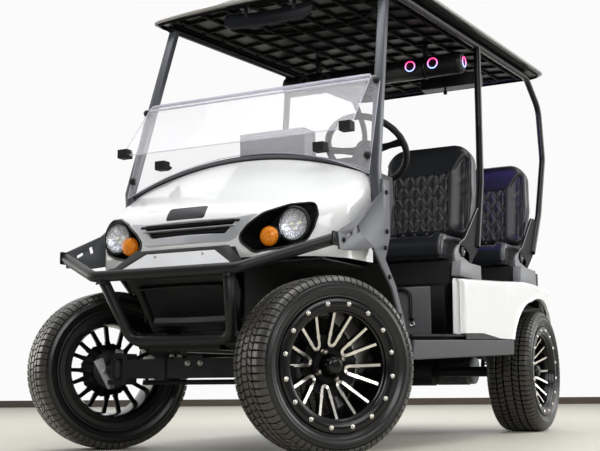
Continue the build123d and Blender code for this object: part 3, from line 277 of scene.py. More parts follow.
def turns(count):
    """The angles of so many even steps round a circle."""
    return [2 * pi * n / count for n in range(count)]


def turned(name, profile, centre, axis, finish, steps=48, smooth=35, caps=True):
    """A form of revolution: the profile is a list of (radius, height along the axis)."""
    turn = Vector(axis).normalized().to_track_quat("Z", "Y")
    rows = [[Vector(centre) + turn @ Vector((radius * cos(t), radius * sin(t), height)) for t in turns(steps)]
            for radius, height in profile]
    return skinned(name, rows, finish, around=True, caps=caps, smooth=smooth)


def hex_bolt(centre, axis, across, finish):
    """A flanged hexagon bolt head, standing on its seat."""
    flange = [(across * 0.72, 0), (across * 0.72, across * 0.1), (across * 0.6, across * 0.2)]
    head = [(across * 0.57, across * 0.12), (across * 0.57, across * 0.52), (across * 0.47, across * 0.62)]
    return merged("bolt", [turned("bolt", flange, centre, axis, finish, steps=20),
                           turned("bolt", head, centre, axis, finish, steps=6, smooth=25)])


# bright, slightly yellow steel with a fine cloudy tarnish
zinc = grained("zinc_plated_steel", "c9c8c4", "8f8e8a", 0.28, 0.003, 0.0001, metallic=1.0, drift=0.02)
spring_bolts = [hex_bolt((1120 + dx, side * 175 + dy, 327), Z_AXIS, 17, zinc)
                for side in (1, -1) for dx in (-24, 24) for dy in (-31, 31)]
beam_bolts = [hex_bolt((1150, y, 306), X_AXIS, 15, zinc) for y in (-70, -18)]
fixed("front_beam_bolts", spring_bolts + beam_bolts, "axle_steel")


def plate(name, outline, thickness, lay, finish, ease=1.5, holes=(), smooth=35):
    """A plate cut to an outline of 2-D points, laid in place by a function of (along, up, through)."""
    curve = bpy.data.curves.new(name, "CURVE")
    curve.dimensions, curve.fill_mode = "2D", "BOTH"
    for ring in (outline, *holes):
        line = curve.splines.new("POLY")
        line.points.add(len(ring) - 1)
        for point, (along, up) in zip(line.points, ring):
            point.co = (along * MM, up * MM, 0, 1)
        line.use_cyclic_u = True
    cut = bpy.data.objects.new(name, curve)
    bpy.context.scene.collection.objects.link(cut)
    face = bpy.data.meshes.new_from_object(cut.evaluated_get(bpy.context.evaluated_depsgraph_get()))
    bpy.data.objects.remove(cut)
    form = bmesh.new()
    form.from_mesh(face)
    bmesh.ops.remove_doubles(form, verts=form.verts, dist=1e-6)
    flattened(form, 1)
    lifted = bmesh.ops.extrude_face_region(form, geom=form.faces[:])["geom"]
    for vert in lifted:
        if isinstance(vert, bmesh.types.BMVert):
            vert.co.z = thickness * MM
    for vert in form.verts:
        vert.co = Vector(lay(vert.co.x * 1000, vert.co.y * 1000, vert.co.z * 1000)) * MM
    bmesh.ops.recalc_face_normals(form, faces=form.faces)
    written(form, face).materials.clear()
    piece = shown(name, face, finish, smooth)
    return eased(piece, ease) if ease else piece


def rounded(corners, radius, steps=5, closed=True):
    """A line of 2-D or 3-D corners, each turned on an arc; radius is one number, or one for each corner."""
    corners = [Vector(corner) for corner in corners]
    radii = radius if hasattr(radius, "__len__") else [radius] * len(corners)
    line = []
    for at, corner in enumerate(corners):
        if not closed and at in (0, len(corners) - 1) or radii[at] <= 0:
            line.append(corner)
            continue
        back, ahead = corners[at - 1] - corner, corners[(at + 1) % len(corners)] - corner
        turn = back.angle(ahead)
        cut = min(radii[at] / tan(turn / 2), back.length * 0.49, ahead.length * 0.49)
        reach = cut * tan(turn / 2)
        start, end = corner + back.normalized() * cut, corner + ahead.normalized() * cut
        middle = corner + (back.normalized() + ahead.normalized()).normalized() * (reach / sin(turn / 2))
        for step in range(steps + 1):
            arm = (start - middle).lerp(end - middle, step / steps)
            line.append(middle + arm.normalized() * reach)
    return line


def oblong(left, low, right, high, radius=0):
    """A rectangle's outline, with its corners rounded."""
    return rounded([(left, low), (right, low), (right, high), (left, high)], radius)


def wedge(half_low, low, half_high, high, radius=0):
    """An even outline with rounded corners, between two levels with a half width at each."""
    return rounded([(-half_low, low), (half_low, low), (half_high, high), (-half_high, high)], radius)


def ahead(x, y=0, z=0, way=1):
    """A lay for a plate that stands across the cart, its thickness going forwards from x, or backwards."""
    return lambda along, up, through: (x + way * through, y + along, z + up)


def abeam(side, y, x=0, z=0):
    """A lay for a plate that stands along the cart, its thickness going out from y on that side."""
    return lambda along, up, through: (x + along, side * (y + through), z + up)


# bracket bolted to the beam beside its far spring, with the steering stop on it
stop_plate = plate("beam_stop_plate", rounded([(0, 0), (44, 0), (44, 74), (26, 92), (0, 92)], 6), 6,
                   ahead(1151, -205, 246), cast_iron)
fitted(stop_plate, "chassis", "axle_cast")

# ---- Rear axle, motor and shock absorbers ----
# A cast gear case between two axle tubes with brake drums, with the drive motor bolted on behind.
# Two gas shock absorbers stand between the axle and the cross member under the rear seat.
as_packed("rear_axle", "rear_axle_housing", 3, cast_iron, "axle_cast")
# pale grey, open-grained and dull, on the motor's case and its cooling ribs
cast_aluminium = grained("sand_cast_aluminium", "8c9094", "5d6165", 0.48, 0.003, 0.0005, metallic=0.9,
                         drift=0.04)


def copied(item, name, finish, inputs, spread):
    """Copies of an item as one plain mesh, set out by nodes. The group's inputs are named, with their
    values. spread adds the nodes that place the copies, and returns the sources of the node that sets
    them there."""
    tree = bpy.data.node_groups.new(name, "GeometryNodeTree")
    inputs = {**inputs, "Finish": finish}
    kinds = {int: "NodeSocketInt", float: "NodeSocketFloat", bpy.types.Material: "NodeSocketMaterial"}
    tree.interface.new_socket("Item", in_out="INPUT", socket_type="NodeSocketGeometry")
    for label, value in inputs.items():
        tree.interface.new_socket(label, in_out="INPUT", socket_type=kinds[type(value)])
    tree.interface.new_socket("Copies", in_out="OUTPUT", socket_type="NodeSocketGeometry")
    given = add_node(tree, "NodeGroupInput").outputs
    copies = add_node(tree, "GeometryNodeInstanceOnPoints",
                      {"Instance": given["Item"], **spread(tree, given)})
    real = add_node(tree, "GeometryNodeRealizeInstances", {0: copies.outputs[0]})
    painted = add_node(tree, "GeometryNodeSetMaterial",
                       {"Geometry": real.outputs[0], "Material": given["Finish"]})
    add_node(tree, "NodeGroupOutput", {0: painted.outputs[0]})
    group = item.modifiers.new(name, "NODES")
    group.node_group = tree
    for label, value in inputs.items():
        group[tree.interface.items_tree[label].identifier] = value
    item.name = name
    return worked(item)


def around_axis(tree, given):
    """Places the copies at one spot, each turned by its share of the sweep."""
    spots = add_node(tree, "GeometryNodeMeshLine", {"Count": given["Turns"], "Offset": (0, 0, 0)})
    number = add_node(tree, "GeometryNodeInputIndex")
    share = add_node(tree, "ShaderNodeMath", {0: number.outputs[0], 1: given["Turns"]}, operation="DIVIDE")
    angle = add_node(tree, "ShaderNodeMath", {0: share.outputs[0], 1: given["Sweep"]}, operation="MULTIPLY")
    turn = add_node(tree, "ShaderNodeCombineXYZ", {"Z": angle.outputs[0]})
    return {"Points": spots.outputs[0], "Rotation": turn.outputs[0]}


def around(name, item, count, centre, axis, finish, sweep=2 * pi):
    """Copies of an item turned about an axis through a centre, as one plain mesh."""
    copied(item, name, finish, {"Turns": count, "Sweep": sweep}, around_axis)
    turn = Vector(axis).normalized().to_track_quat("Z", "Y").to_matrix().to_4x4()
    item.data.transform(Matrix.Translation(Vector(centre) * MM) @ turn)
    return item


motor = softened("drive_motor", "motor_case", 4, cast_aluminium)
rib = plate("rib", [(77, -2), (82, -1.5), (82, 1.5), (77, 2)], 170, lambda a, b, c: (a, b, c - 85),
            cast_aluminium,
            ease=0)
ribs = around("motor_ribs", rib, 30, (-1065, 100, 305), Y_AXIS, cast_aluminium)
fixed("drive_motor_case", [motor, ribs], "motor_metal", "drive_motor")

# a smooth hard black on the coil over each shock absorber's body
coil_black = grained("coil_spring_enamel", "141518", "0b0c0e", 0.35, 0.003, 0.0001)


def rod(name, line, radius, finish, closed=False, sides=6):
    """A round bar along a line of points, with its ends filled."""
    curve = bpy.data.curves.new(name, "CURVE")
    curve.dimensions, curve.use_fill_caps = "3D", True
    curve.bevel_depth, curve.bevel_resolution = radius * MM, sides
    spline = curve.splines.new("POLY")
    spline.points.add(len(line) - 1)
    for point, place in zip(spline.points, line):
        point.co = (*(Vector(place) * MM), 1)
    spline.use_cyclic_u = closed
    bar = bpy.data.objects.new(name, curve)
    bpy.context.scene.collection.objects.link(bar)
    mesh = bpy.data.meshes.new_from_object(bar.evaluated_get(bpy.context.evaluated_depsgraph_get()))
    bpy.data.objects.remove(bar)
    return shown(name, welded(mesh), finish, smooth=50)


coils = []
for side in (1, -1):
    foot, head = Vector((-943, side * 300, 335)), Vector((-1000, side * 300, 540))
    across = (head - foot).normalized().cross(Y_AXIS).normalized()
    helix = [foot.lerp(head, n / 112) + (across * cos(n * pi / 8) + Y_AXIS * sin(n * pi / 8)) * 33
             for n in range(113)]
    coils.append(rod("coil", helix, 5, coil_black, sides=3))
shocks = softened("shock_absorbers", "shock_bodies", 1.5, cast_iron)
fixed("shock_absorbers_and_coils", [shocks, *coils], "shock_body", "shock_absorbers")

# ---- Floor, rockers and battery ----
# A steel floor pan under a ribbed rubber mat, with a moulded rocker clipped along each skirt.
# The battery pack stands in the bay under the front seat.
# floor rubber: a flat dark grey that scatters what light reaches it
mat_rubber = grained("ribbed_floor_rubber", "1d1e20", "141517", 0.72, 0.0015, 0.00025)
floor = softened("floor_pan", "floor_sheet", 1.5, mat_rubber)


def on_grid(tree, given):
    """Places the copies on the points of a grid about the middle."""
    grid = add_node(tree, "GeometryNodeMeshGrid", {"Size X": given["Length"], "Size Y": given["Width"],
                                                   "Vertices X": given["Columns"],
                                                   "Vertices Y": given["Rows"]})
    return {"Points": grid.outputs[0]}


def in_rows(name, item, columns, rows, pitch, start, finish, lay=None):
    """Copies of an item in columns along X and rows along Y, from a start at a pitch, as one plain mesh."""
    length, width = pitch[0] * (columns - 1), pitch[1] * (rows - 1)
    copied(item, name, finish, {"Columns": columns, "Rows": rows, "Length": length * MM, "Width": width * MM},
           on_grid)
    middle = Vector((start[0] + length / 2, start[1] + width / 2, start[2])) * MM
    for vert in item.data.vertices:
        vert.co += middle
        if lay:
            vert.co = Vector(lay(*(vert.co * 1000))) * MM
    return item


FLOOR_FALL = tan(radians(2))
mat_ribs = []
for long, count, start in ((1150, 28, 202), (740, 21, -655)):
    rib = plate("rib", wedge(3, 0, 2, 3), long, lambda a, b, c: (a, c - long / 2, b), mat_rubber, ease=0)
    mat_ribs.append(in_rows("mat_ribs", rib, count, 1, (16, 1), (start, 0, 0), mat_rubber,
                            lambda x, y, z: (x, y, z + 428.3 - x * FLOOR_FALL)))
fixed("floor_mat", [floor, *mat_ribs], "floor_mat", "floor_pan")

# a dark satin grey with a fine leather-like grain, rounded along its outer edges
rocker_plastic = grained("moulded_polypropylene", "3f4045", "333438", 0.4, 0.0018, 0.0001)
as_packed("rocker_panels", "rockers", 6, rocker_plastic, "rocker_grey", segments=3)

# a plain hard plastic, a shade lighter than the steel round it
battery_case = grained("battery_case_abs", "26282b", "1b1c1f", 0.5, 0.002, 0.0003)
pack = softened("battery_pack", "battery", 8, battery_case)
rib = plate("rib", [(0, -4), (5, -3), (5, 3), (0, 3)], 150, lambda a, b, c: (129.5 + a, b, c + 445),
            battery_case,
            ease=0)
ribs = in_rows("battery_ribs", rib, 1, 15, (1, 42), (0, -294, 0), battery_case)
fixed("battery_and_ribs", [pack, ribs], "battery_case", "battery_pack")

# ---- Front cowl ----
# One large moulding: an arched hood that rolls over into the nose and down both sides.
# It is thermoformed and painted gloss white, and is open at the two lamp pockets and the air slot.
# gloss white paint: a clean cool white under clear coat, which mirrors the room softly
gloss_white = grained("gloss_white_paint", "eceded", "e4e5e6", 0.16, 0.0012, 0.00001, drift=0.3,
                      Coat_Weight=0.6,
                      Coat_Roughness=0.04)
POCKET = [(190, 712), (225, 755), (280, 799), (350, 828), (425, 836), (440, 790), (430, 745), (410, 705),
          (350, 682),
          (250, 664)]
slot_line = wedge(194, 781, 150, 733, 7)


def arc_through(start, middle, end, steps):
    """Points on the circle through three 2-D points, from the first to the last."""
    (ax, ay), (bx, by), (cx, cy) = start, middle, end
    d = 2 * (ax * (by - cy) + bx * (cy - ay) + cx * (ay - by))
    a2, b2, c2 = ax * ax + ay * ay, bx * bx + by * by, cx * cx + cy * cy
    ux = (a2 * (by - cy) + b2 * (cy - ay) + c2 * (ay - by)) / d
    uy = (a2 * (cx - bx) + b2 * (ax - cx) + c2 * (bx - ax)) / d
    radius = hypot(ax - ux, ay - uy)
    first, through, last = (atan2(y - uy, x - ux) for x, y in (start, middle, end))
    sweep = (last - first) % (2 * pi)
    if (through - first) % (2 * pi) > sweep:
        sweep -= 2 * pi
    angles = [first + sweep * n / steps for n in range(steps + 1)]
    return [(ux + radius * cos(angle), uy + radius * sin(angle)) for angle in angles]


plan = [(820, 516), (868, 515), *arc_through((1030, 503), (1168, 415), (1235, 270), 10),
        *arc_through((1235, 270), (1287, 140), (1307, 0), 8)[1:]]
nose_x = ([600, 650, 686, 694, 731, 765, 800, 835, 1300],
          [1222, 1242, 1294, 1302, 1283, 1274, 1267, 1262, 1262])
COWL_HEART = np.array((868, 0, 650))        # a point inside the cowl that sees all of its skin
HOOD_ARCH = 1363.6                          # the radius of the hood's arch across the cart
HOOD_RAKE, HOOD_SLOPE = 0.6294, 0.846       # the hood's fall for its run, and the cosine of that


def soft_most(first, second, blend):
    """The larger of two distances, blended smoothly where they come within the blend of each other."""
    near = np.maximum(blend - np.abs(first - second), 0) / blend
    return np.maximum(first, second) + near ** 2 * blend / 4


def outside_cowl(points):
    """How far points are outside the cowl's skin: under the arched hood, in the plan, behind the nose."""
    x, y, z = points.T
    arch = HOOD_ARCH - np.sqrt(np.maximum(HOOD_ARCH ** 2 - y ** 2, 1))
    hood = (z - (1066 - HOOD_RAKE * (x - 868) - arch)) * HOOD_SLOPE
    sides = np.full(len(points), -1e9)
    for (x0, y0), (x1, y1) in zip(plan, plan[1:]):
        length = hypot(x1 - x0, y1 - y0)
        sides = np.maximum(sides, ((x - x0) * (y0 - y1) + (np.abs(y) - y0) * (x1 - x0)) / length)
    nose = x - np.interp(z, *nose_x)
    return soft_most(hood, soft_most(sides, nose, 30), 46)


rows = []
out = np.linspace(0.004 - pi / 2, pi / 2 - 0.004, 150)
for tilt in np.linspace(0, pi / 2, 110):
    heading = np.stack([np.cos(out) * sin(tilt), np.sin(out), np.cos(out) * cos(tilt)], 1)
    near, far = np.zeros(len(out)), np.full(len(out), 900.0)
    for halving in range(30):
        reach = (near + far) / 2
        inside = outside_cowl(COWL_HEART + heading * reach[:, None]) < 0
        near, far = np.where(inside, reach, near), np.where(inside, far, reach)
    rows.append([tuple(point) for point in COWL_HEART + heading * near[:, None]])
cowl = skinned("front_cowl_shell", rows, gloss_white)


def skin_of(piece):
    """A piece's mesh as it is now, for rays to be cast at."""
    return BVHTree.FromPolygons([vert.co.copy() for vert in piece.data.vertices],
                                [face.vertices[:] for face in piece.data.polygons])


cowl_skin = skin_of(cowl)


def on_cowl(y, z, lift=0.0):
    """The point of the cowl's skin straight behind (y, z), seen from ahead, lifted off the skin."""
    place, normal, *_ = cowl_skin.ray_cast(Vector((1.6, y * MM, z * MM)), -X_AXIS)
    if place is None:
        place, normal, *_ = cowl_skin.find_nearest(Vector((1.2, y * MM, z * MM)))
    if normal.x < 0:
        normal = -normal
    return (place * 1000) + normal * lift


def walled(piece, thickness, offset, even):
    """Gives a skin a thickness in metres, to the side that the offset says."""
    wall = piece.modifiers.new("wall", "SOLIDIFY")
    wall.thickness, wall.offset, wall.use_even_offset = thickness, offset, even
    return worked(piece)


walled(cowl, 0.0045, -1 if cowl.data.polygons[8000].normal.x > 0 else 1, True)


def pressed_through(shell, outline, back, front):
    """Cuts an outline, seen from ahead, through a shell between two stations."""
    cutter = plate("cutter", outline, front - back, ahead(back), gloss_white, ease=0)
    cut = shell.modifiers.new("opening", "BOOLEAN")
    cut.operation, cut.object, cut.solver = "DIFFERENCE", cutter, "EXACT"
    worked(shell)
    bpy.data.objects.remove(cutter)


pocket_lines = {side: rounded([(side * y, z) for y, z in POCKET][::side], 26, steps=6) for side in (1, -1)}
for line in pocket_lines.values():
    pressed_through(cowl, line, 1050, 1400)
pressed_through(cowl, slot_line, 1150, 1400)
cowl.data.set_sharp_from_angle(angle=radians(35))
fitted(cowl, "chassis", "body_white", "front_cowl")

# ---- Nose trim ----
# Around the slot lies a moulded bezel, and below the hood's crest a plain dark badge plate. The slot itself
# is backed by black louvres, with one silver bar between them. All are clipped to the cowl from behind.
# satin silver plastic: a pale metallic that lifts the bezel off the white around it
silver_abs = grained("satin_silver_abs", "c2c4c9", "b0b2b8", 0.32, 0.0012, 0.00003, metallic=0.4)
# near black, with a soft broad sheen
dark_abs = grained("black_moulded_abs", "101113", "0a0b0c", 0.45, 0.0016, 0.00012)
# a dark grey that stays flat beside the gloss paint
badge_grey = grained("dark_grey_badge_plastic", "2c2d31", "232428", 0.38, 0.001, 0.00005)


def evened(line, count):
    """A closed line as so many evenly spaced points."""
    loop = [Vector(point) for point in line] + [Vector(line[0])]
    reach = np.concatenate([[0], np.cumsum([(two - one).length for one, two in zip(loop, loop[1:])])])
    marks = np.linspace(0, reach[-1], count, endpoint=False)
    return [Vector(point) for point in np.stack([np.interp(marks, reach, [point[k] for point in loop])
                                                 for k in range(len(loop[0]))], 1)]


def rays_to(outline, middle, angles):
    """Where rays from a middle point, at those angles, cross a closed 2-D outline round it."""
    loop = [Vector(point[:2]) - Vector(middle) for point in outline]
    found = []
    for angle in angles:
        ray = Vector((cos(angle), sin(angle)))
        best = 0.0
        for one, two in zip(loop, loop[1:] + loop[:1]):
            side = two - one
            across = ray.x * side.y - ray.y * side.x
            if abs(across) > 1e-9:
                reach = (one.x * side.y - one.y * side.x) / across
                share = (one.x * ray.y - one.y * ray.x) / across
                if -1e-6 <= share <= 1 + 1e-6 and reach > best:
                    best = reach
        found.append(Vector(middle) + ray * best)
    return found


def headings(points, middle, count):
    """Angles from a middle point: so many even ones, and one for each point, so that corners stay sharp."""
    arms = [Vector(point[:2]) - Vector(middle) for point in points]
    return sorted({round(atan2(arm.y, arm.x), 3) for arm in arms} | {n * pi / (count / 2) - pi
                                                                     for n in range(count)})


def laid_on(name, outer, inner, middle, height, finish, steps=6):
    """A low moulding on the cowl, between an outline and a hole or a middle point, with rolled edges."""
    angles = headings([*outer, *(inner or [])], middle, 80)
    outside = rays_to(outer, middle, angles)
    inside = rays_to(inner, middle, angles) if inner else [Vector(middle)] * len(angles)
    edge = 0.06 if inner else 0.03
    profile = [(0, -3), (0, height * 0.55), (edge, height), *((n / steps, height) for n in range(1, steps))]
    profile += [(1 - edge, height), (1, height * 0.55), (1, -9)] if inner else [(1, height)]
    rows = [[on_cowl(*a.lerp(b, share), lift) for a, b in zip(outside, inside)] for share, lift in profile]
    return skinned(name, rows, finish, around=True)


bezel_side = [(194, 785), (264, 797), (223, 759), (187, 714), (166, 706)]
bezel_line = rounded([*bezel_side, (0, 701), *[(-y, z) for y, z in bezel_side[::-1]], (0, 785)],
                     [2, 3, 8, 5, 10, 0, 10, 5, 8, 3, 2, 0])
fitted(laid_on("slot_bezel", bezel_line, slot_line, (0, 757), 2.2, silver_abs), "chassis", "fascia_black")

louvres = []
for height, front, thick, finish in ((744, 1254, 9, dark_abs), (759, 1266, 4, silver_abs),
                                     (775, 1254, 9, dark_abs)):
    half = 162 + (height - 733) * 0.92
    section = ((1236, thick), (front, thick * 0.4), (front, -thick * 0.4), (1236, -thick))
    louvres.append(bar_of("louvre",
                          [[(x, y, height + dz) for x, dz in section] for y in np.linspace(-half, half, 9)],
                          finish))
slot_back = plate("slot_back", wedge(205, 790, 165, 722, 6), 4, ahead(1232), dark_abs)
fixed("slot_louvres", [*louvres, slot_back], "fascia_black")

badge = laid_on("badge", rounded([(-92, 792), (66, 792), (64, 837), (-94, 837)], 8), None, (-14, 814), 2.4,
                badge_grey)
badge_line = rounded([(-87, 797), (61, 797), (59, 832), (-89, 832)], 5)
badge_rim = rod("badge_rim", [on_cowl(*point, 2.6) for point in badge_line], 1.1, badge_grey, closed=True,
                sides=2)
fixed("badge_plate_blank", [badge, badge_rim], "fascia_black")

# ---- Lamp pockets ----
# Each pocket is a deep black bowl with a thin raised rim, moulded with the fascia behind the cowl.
# lamp surround: a smooth dark grey, whose rim draws a thin bright line round the pocket
rim_grey = grained("satin_grey_lamp_surround", "1c1d20", "141518", 0.35, 0.0014, 0.00006)
BOWL_FLOOR = 1139
for side, label in SIDES:
    mouth = evened(pocket_lines[side], 96)
    middle = Vector((side * 325, 752))
    rows = [[on_cowl(*middle.lerp(point, 0.994), 0.4) for point in mouth]]
    # each ring of the bowl lies a share of the way to its floor, and is drawn in towards its middle
    for share, shrink in ((0.15, 0.985), (0.5, 0.965), (0.9, 0.94), (1.0, 0.9), (1.0, 0.5), (1.0, 0.02)):
        row = []
        for point in mouth:
            x = on_cowl(*point)[0]
            depth = (BOWL_FLOOR - x) * share if x > BOWL_FLOOR else -6 * share
            row.append((x + depth, *middle.lerp(point, shrink)))
        rows.append(row)
    bowl = skinned("bowl", rows, dark_abs, around=True)
    rim = rod("pocket_rim", [on_cowl(y, z, 1.0) for y, z in mouth], 3.6, rim_grey, closed=True, sides=3)
    fixed(f"{label}_lamp_pocket", [bowl, rim], "fascia_black")

# ---- Fascia and nose panel ----
# A textured black moulding frames a loose white panel under the nose, and carries a scooped lower grille.
# The grille is a pressed mesh insert behind a rolled lip, with a flat black bridge above it.
LIE = Vector((-41, 0, 70)).normalized()          # up the sloping face of the nose panel
FACE = Vector((70, 0, 41)).normalized()          # straight out of it
PANEL_ORIGIN = Vector((1302, 0, 672))


def on_panel(along, up, through):
    """A point of the nose panel's own plane, in the cart's frame."""
    return PANEL_ORIGIN + Vector((0, along, 0)) + LIE * up + FACE * through


surround = plate("nose_surround", wedge(285, -86, 190, 14, [14, 14, 8, 8]), 6, on_panel, dark_abs, ease=2,
                 holes=[wedge(236, -72, 138, 0, 5)])
# dark coated metal, whose bars just stand off the black behind them
grille_mesh = grained("pressed_black_mesh", "232428", "17181b", 0.4, 0.002, 0.0001)
# painted shade: a near black sheet behind the mesh, standing for the dark depth of the duct
duct_painted_shade = grained("duct_painted_shade_black", "040405", "030303", 0.8, 0.002, 0.0001, Specular_IOR_Level=0.05)
# a smooth mid grey on the scoop's foot: a painted highlight that reads as its lit edge
sill_painted_highlight = grained("sill_painted_highlight_grey", "55565c", "48494e", 0.34, 0.002, 0.00005)
SCOOP_MIDDLE = (0, 500)


def scoop_x(z):
    """The scoop's station at a height: it leans forwards as it rises."""
    return float(np.interp(z, [408, 578, 600], [1196, 1322, 1347]))


def on_scoop(along, up, through):
    """A point of the scoop's leaning face."""
    return (scoop_x(up) + through, along, up)


# the scoop's frame: a rounded rim, a recessed field and a rolled lip across its head and its foot
rim_line = wedge(195, 594, 188, 410, 14)
hole_line = wedge(172, 566, 166, 440, 12)
angles = headings(rim_line + hole_line, SCOOP_MIDDLE, 48)
rim_rays, hole_rays = (rays_to(line, SCOOP_MIDDLE, angles) for line in (rim_line, hole_line))
frame_rows = [[on_scoop(*a.lerp(b, share), push - 6) for a, b in zip(rim_rays, hole_rays)] for share, push in
              ((0, -60), (0, -3), (0.06, 0), (0.5, 0), (0.9, 0), (1.0, -3), (1.0, -16))]
back_rows = [[on_scoop(y, z, -24) for y in (-176, 176)] for z in (436, 500, 570)]
sill_rows = [[(scoop_x(z) + x, y, z + 3 * (y / 166) ** 2) for y in np.linspace(-164, 164, 9)]
             for x, z in ((-16, 459), (-3, 443), (-3, 440))]
scoop = [skinned("scoop_frame", frame_rows, dark_abs, around=True),
         skinned("scoop_back", back_rows, duct_painted_shade),
         skinned("scoop_sill", sill_rows, sill_painted_highlight)]
for height, stand, bow, half, radius in ((434, 2, 5, 172, 5), (556, 1, -4, 168, 4)):
    lip = [(scoop_x(height) + stand, y, height + bow * (y / 170) ** 2) for y in np.linspace(-half, half, 15)]
    scoop.append(rod("scoop_lip", lip, radius, dark_abs, sides=4))
# pressed mesh: two sets of lozenge bars, each between the rows and columns of the other, lean with the scoop
LOZENGE, LOZENGE_HOLE, MESH_PITCH = 4.6, 3.3, 9.2
for columns, y, z in ((36, -161, 447), (35, -156.4, 451.6)):
    outline, hole = ([(-half, 0), (0, half), (half, 0), (0, -half)] for half in (LOZENGE, LOZENGE_HOLE))
    bar = plate("bar", outline, 3, lambda a, b, c: (a, b, c), grille_mesh, ease=0, holes=[hole])
    scoop.append(in_rows("mesh", bar, columns, 12, (MESH_PITCH, MESH_PITCH), (y, z, 0), grille_mesh,
                         lambda along, up, through: on_scoop(along, up, through - 20)))
bridge = plate("bridge", oblong(-420, 682, 420, 718, 4), 8, ahead(1123), dark_abs)
under_lip = plate("under_lip", wedge(262, 598, 200, 684, 6), 5,
                  lambda a, b, c: (1274 - (b - 684) * 0.42 + c, a, b), dark_abs)
fixed("front_fascia_moulding", [surround, *scoop, bridge, under_lip], "fascia_black",
       "front_fascia")

# a white with fine metal in it, so the panel greys as it turns from the light
pearl_silver = grained("pearl_silver_paint", "dcdde0", "c9cacd", 0.3, 0.002, 0.00002, metallic=0.45)
panel = plate("nose_panel_white", wedge(235, -71.5, 137.5, -0.5, 5), 4, lambda a, b, c: on_panel(a, b, c + 1),
              pearl_silver)
fitted(panel, "chassis", "body_white", "nose_panel")
screws = [turned("screw", [(5.5, 0), (5.2, 1.6), (3.5, 2.6), (3.2, 1.6), (0.1, 1.6)], on_panel(y, -14, 5),
                 FACE, zinc,
                 steps=20) for y in (-96, 96)]
fixed("nose_panel_screws", screws, "axle_steel")

# ---- Headlights ----
# A sealed round lamp: a wide black bezel, a bowl cut in radial facets, and three square LED chips.
# The lens in front of it is faintly domed.


def cellular(tree, place, scale):
    """The distance within square cells, so many to the metre."""
    return add_node(tree, "ShaderNodeTexVoronoi", {"Vector": place, "Scale": scale},
                    distance="CHEBYCHEV").outputs["Distance"]


# a bright mirror, broken into small cells that each blur and tilt it in their own way
bright_bowl, tree, shader, place = bare_finish("vacuum_metallised_reflector", "d9dade", 0.16, 1.0)
cells = cellular(tree, place, 150.0)
feed(shader,
     {"Roughness": ranged(tree, cells, 0.10, 0.34, From_Max=0.6), "Normal": dented(tree, cells, 0.7, 0.002)})
# clear, with faint upright flutes that bend what lies behind them
clear_lens, tree, shader, place = bare_finish("clear_polycarbonate_lens", "fbfcff", 0.04,
                                              Transmission_Weight=1.0,
                                              IOR=1.5)
flutes = add_node(tree, "ShaderNodeTexWave", {"Vector": place, "Scale": 60.0, "Distortion": 0.6},
                  bands_direction="Z")
feed(shader, {"Normal": dented(tree, flutes.outputs["Fac"], 0.25, 0.0006)})
# a mottled warm cream that glows a little
lit_chip, tree, shader, place = bare_finish("led_chip_phosphor", "fff4cf", 0.35,
                                            Emission_Color=linear("fff6dc"),
                                            Emission_Strength=0.2)
mottle = add_node(tree, "ShaderNodeTexNoise", {"Vector": place, "Scale": 400.0}).outputs["Fac"]
feed(shader, {"Base Color": between(tree, mottle, "fff1c2", "fffdf2")})

CAN = [(0.1, -44), (42, -44), (55, -20), (62, -14), (62, -4), (60.5, -1.5), (57, -0.4), (53.5, -0.8),
       (52.2, -4),
       (52, -12), (40, -30), (0.1, -32)]
BOWL = [(51.8, -5), (47, -13), (38, -20), (27, -24), (14, -26), (0.5, -26.5)]
LENS = [(52, -5), (52, -2.6), (44, -0.8), (30, 0.4), (14, 0.9), (0.2, 1.0), (0.2, -1.0), (14, -1.1),
        (30, -1.6),
        (44, -2.8), (50, -4.4), (50, -5), (52, -5)]
for side, label in SIDES:
    centre = Vector((1178, side * 363, 759))
    # the bowl's flutes: 24 flat facets, each between two creases
    bowl_rows = [[centre + Vector((depth + (1.6 if n % 2 else 0) * (radius / 52), radius * cos(t),
                                   radius * sin(t)))
                  for n, t in enumerate(turns(48))] for radius, depth in BOWL]
    parts = [turned("lamp_can", CAN, centre, X_AXIS, dark_abs, steps=72, smooth=50, caps=False),
             skinned("bowl", bowl_rows, bright_bowl, around=True, smooth=4)]
    for turn in turns(12):
        # fins that part the bowl into cells
        run = Vector((0, cos(turn + 0.1), sin(turn + 0.1)))
        beside = run.cross(X_AXIS)
        fin = [[centre + run * reach + X_AXIS * (depth + x) + beside * w
                for x, w in ((0, -0.8), (5, -0.4), (5, 0.4), (0, 0.8))]
               for reach, depth in ((20, -25), (35, -21), (50, -10))]
        parts.append(bar_of("fin", fin, bright_bowl))
    for dy, dz in ((-15, 5), (0, -12), (15, 5)):
        chip = centre + Vector((-22, dy, dz))
        parts.append(plate("chip", oblong(-5.5, -5.5, 5.5, 5.5, 1), 3, ahead(*chip), lit_chip, ease=0.4))
        parts.append(rod("chip_frame",
                         [chip + Vector((4, a, b)) for a, b in ((-7, -7), (7, -7), (7, 7), (-7, 7))],
                         0.9, bright_bowl, closed=True, sides=1))
    parts.append(turned("lens", LENS, centre, X_AXIS, clear_lens, steps=72, smooth=50, caps=False))
    fixed(f"{label}_headlight", parts, "lamp_clear", *(["headlights"] if side > 0 else []))

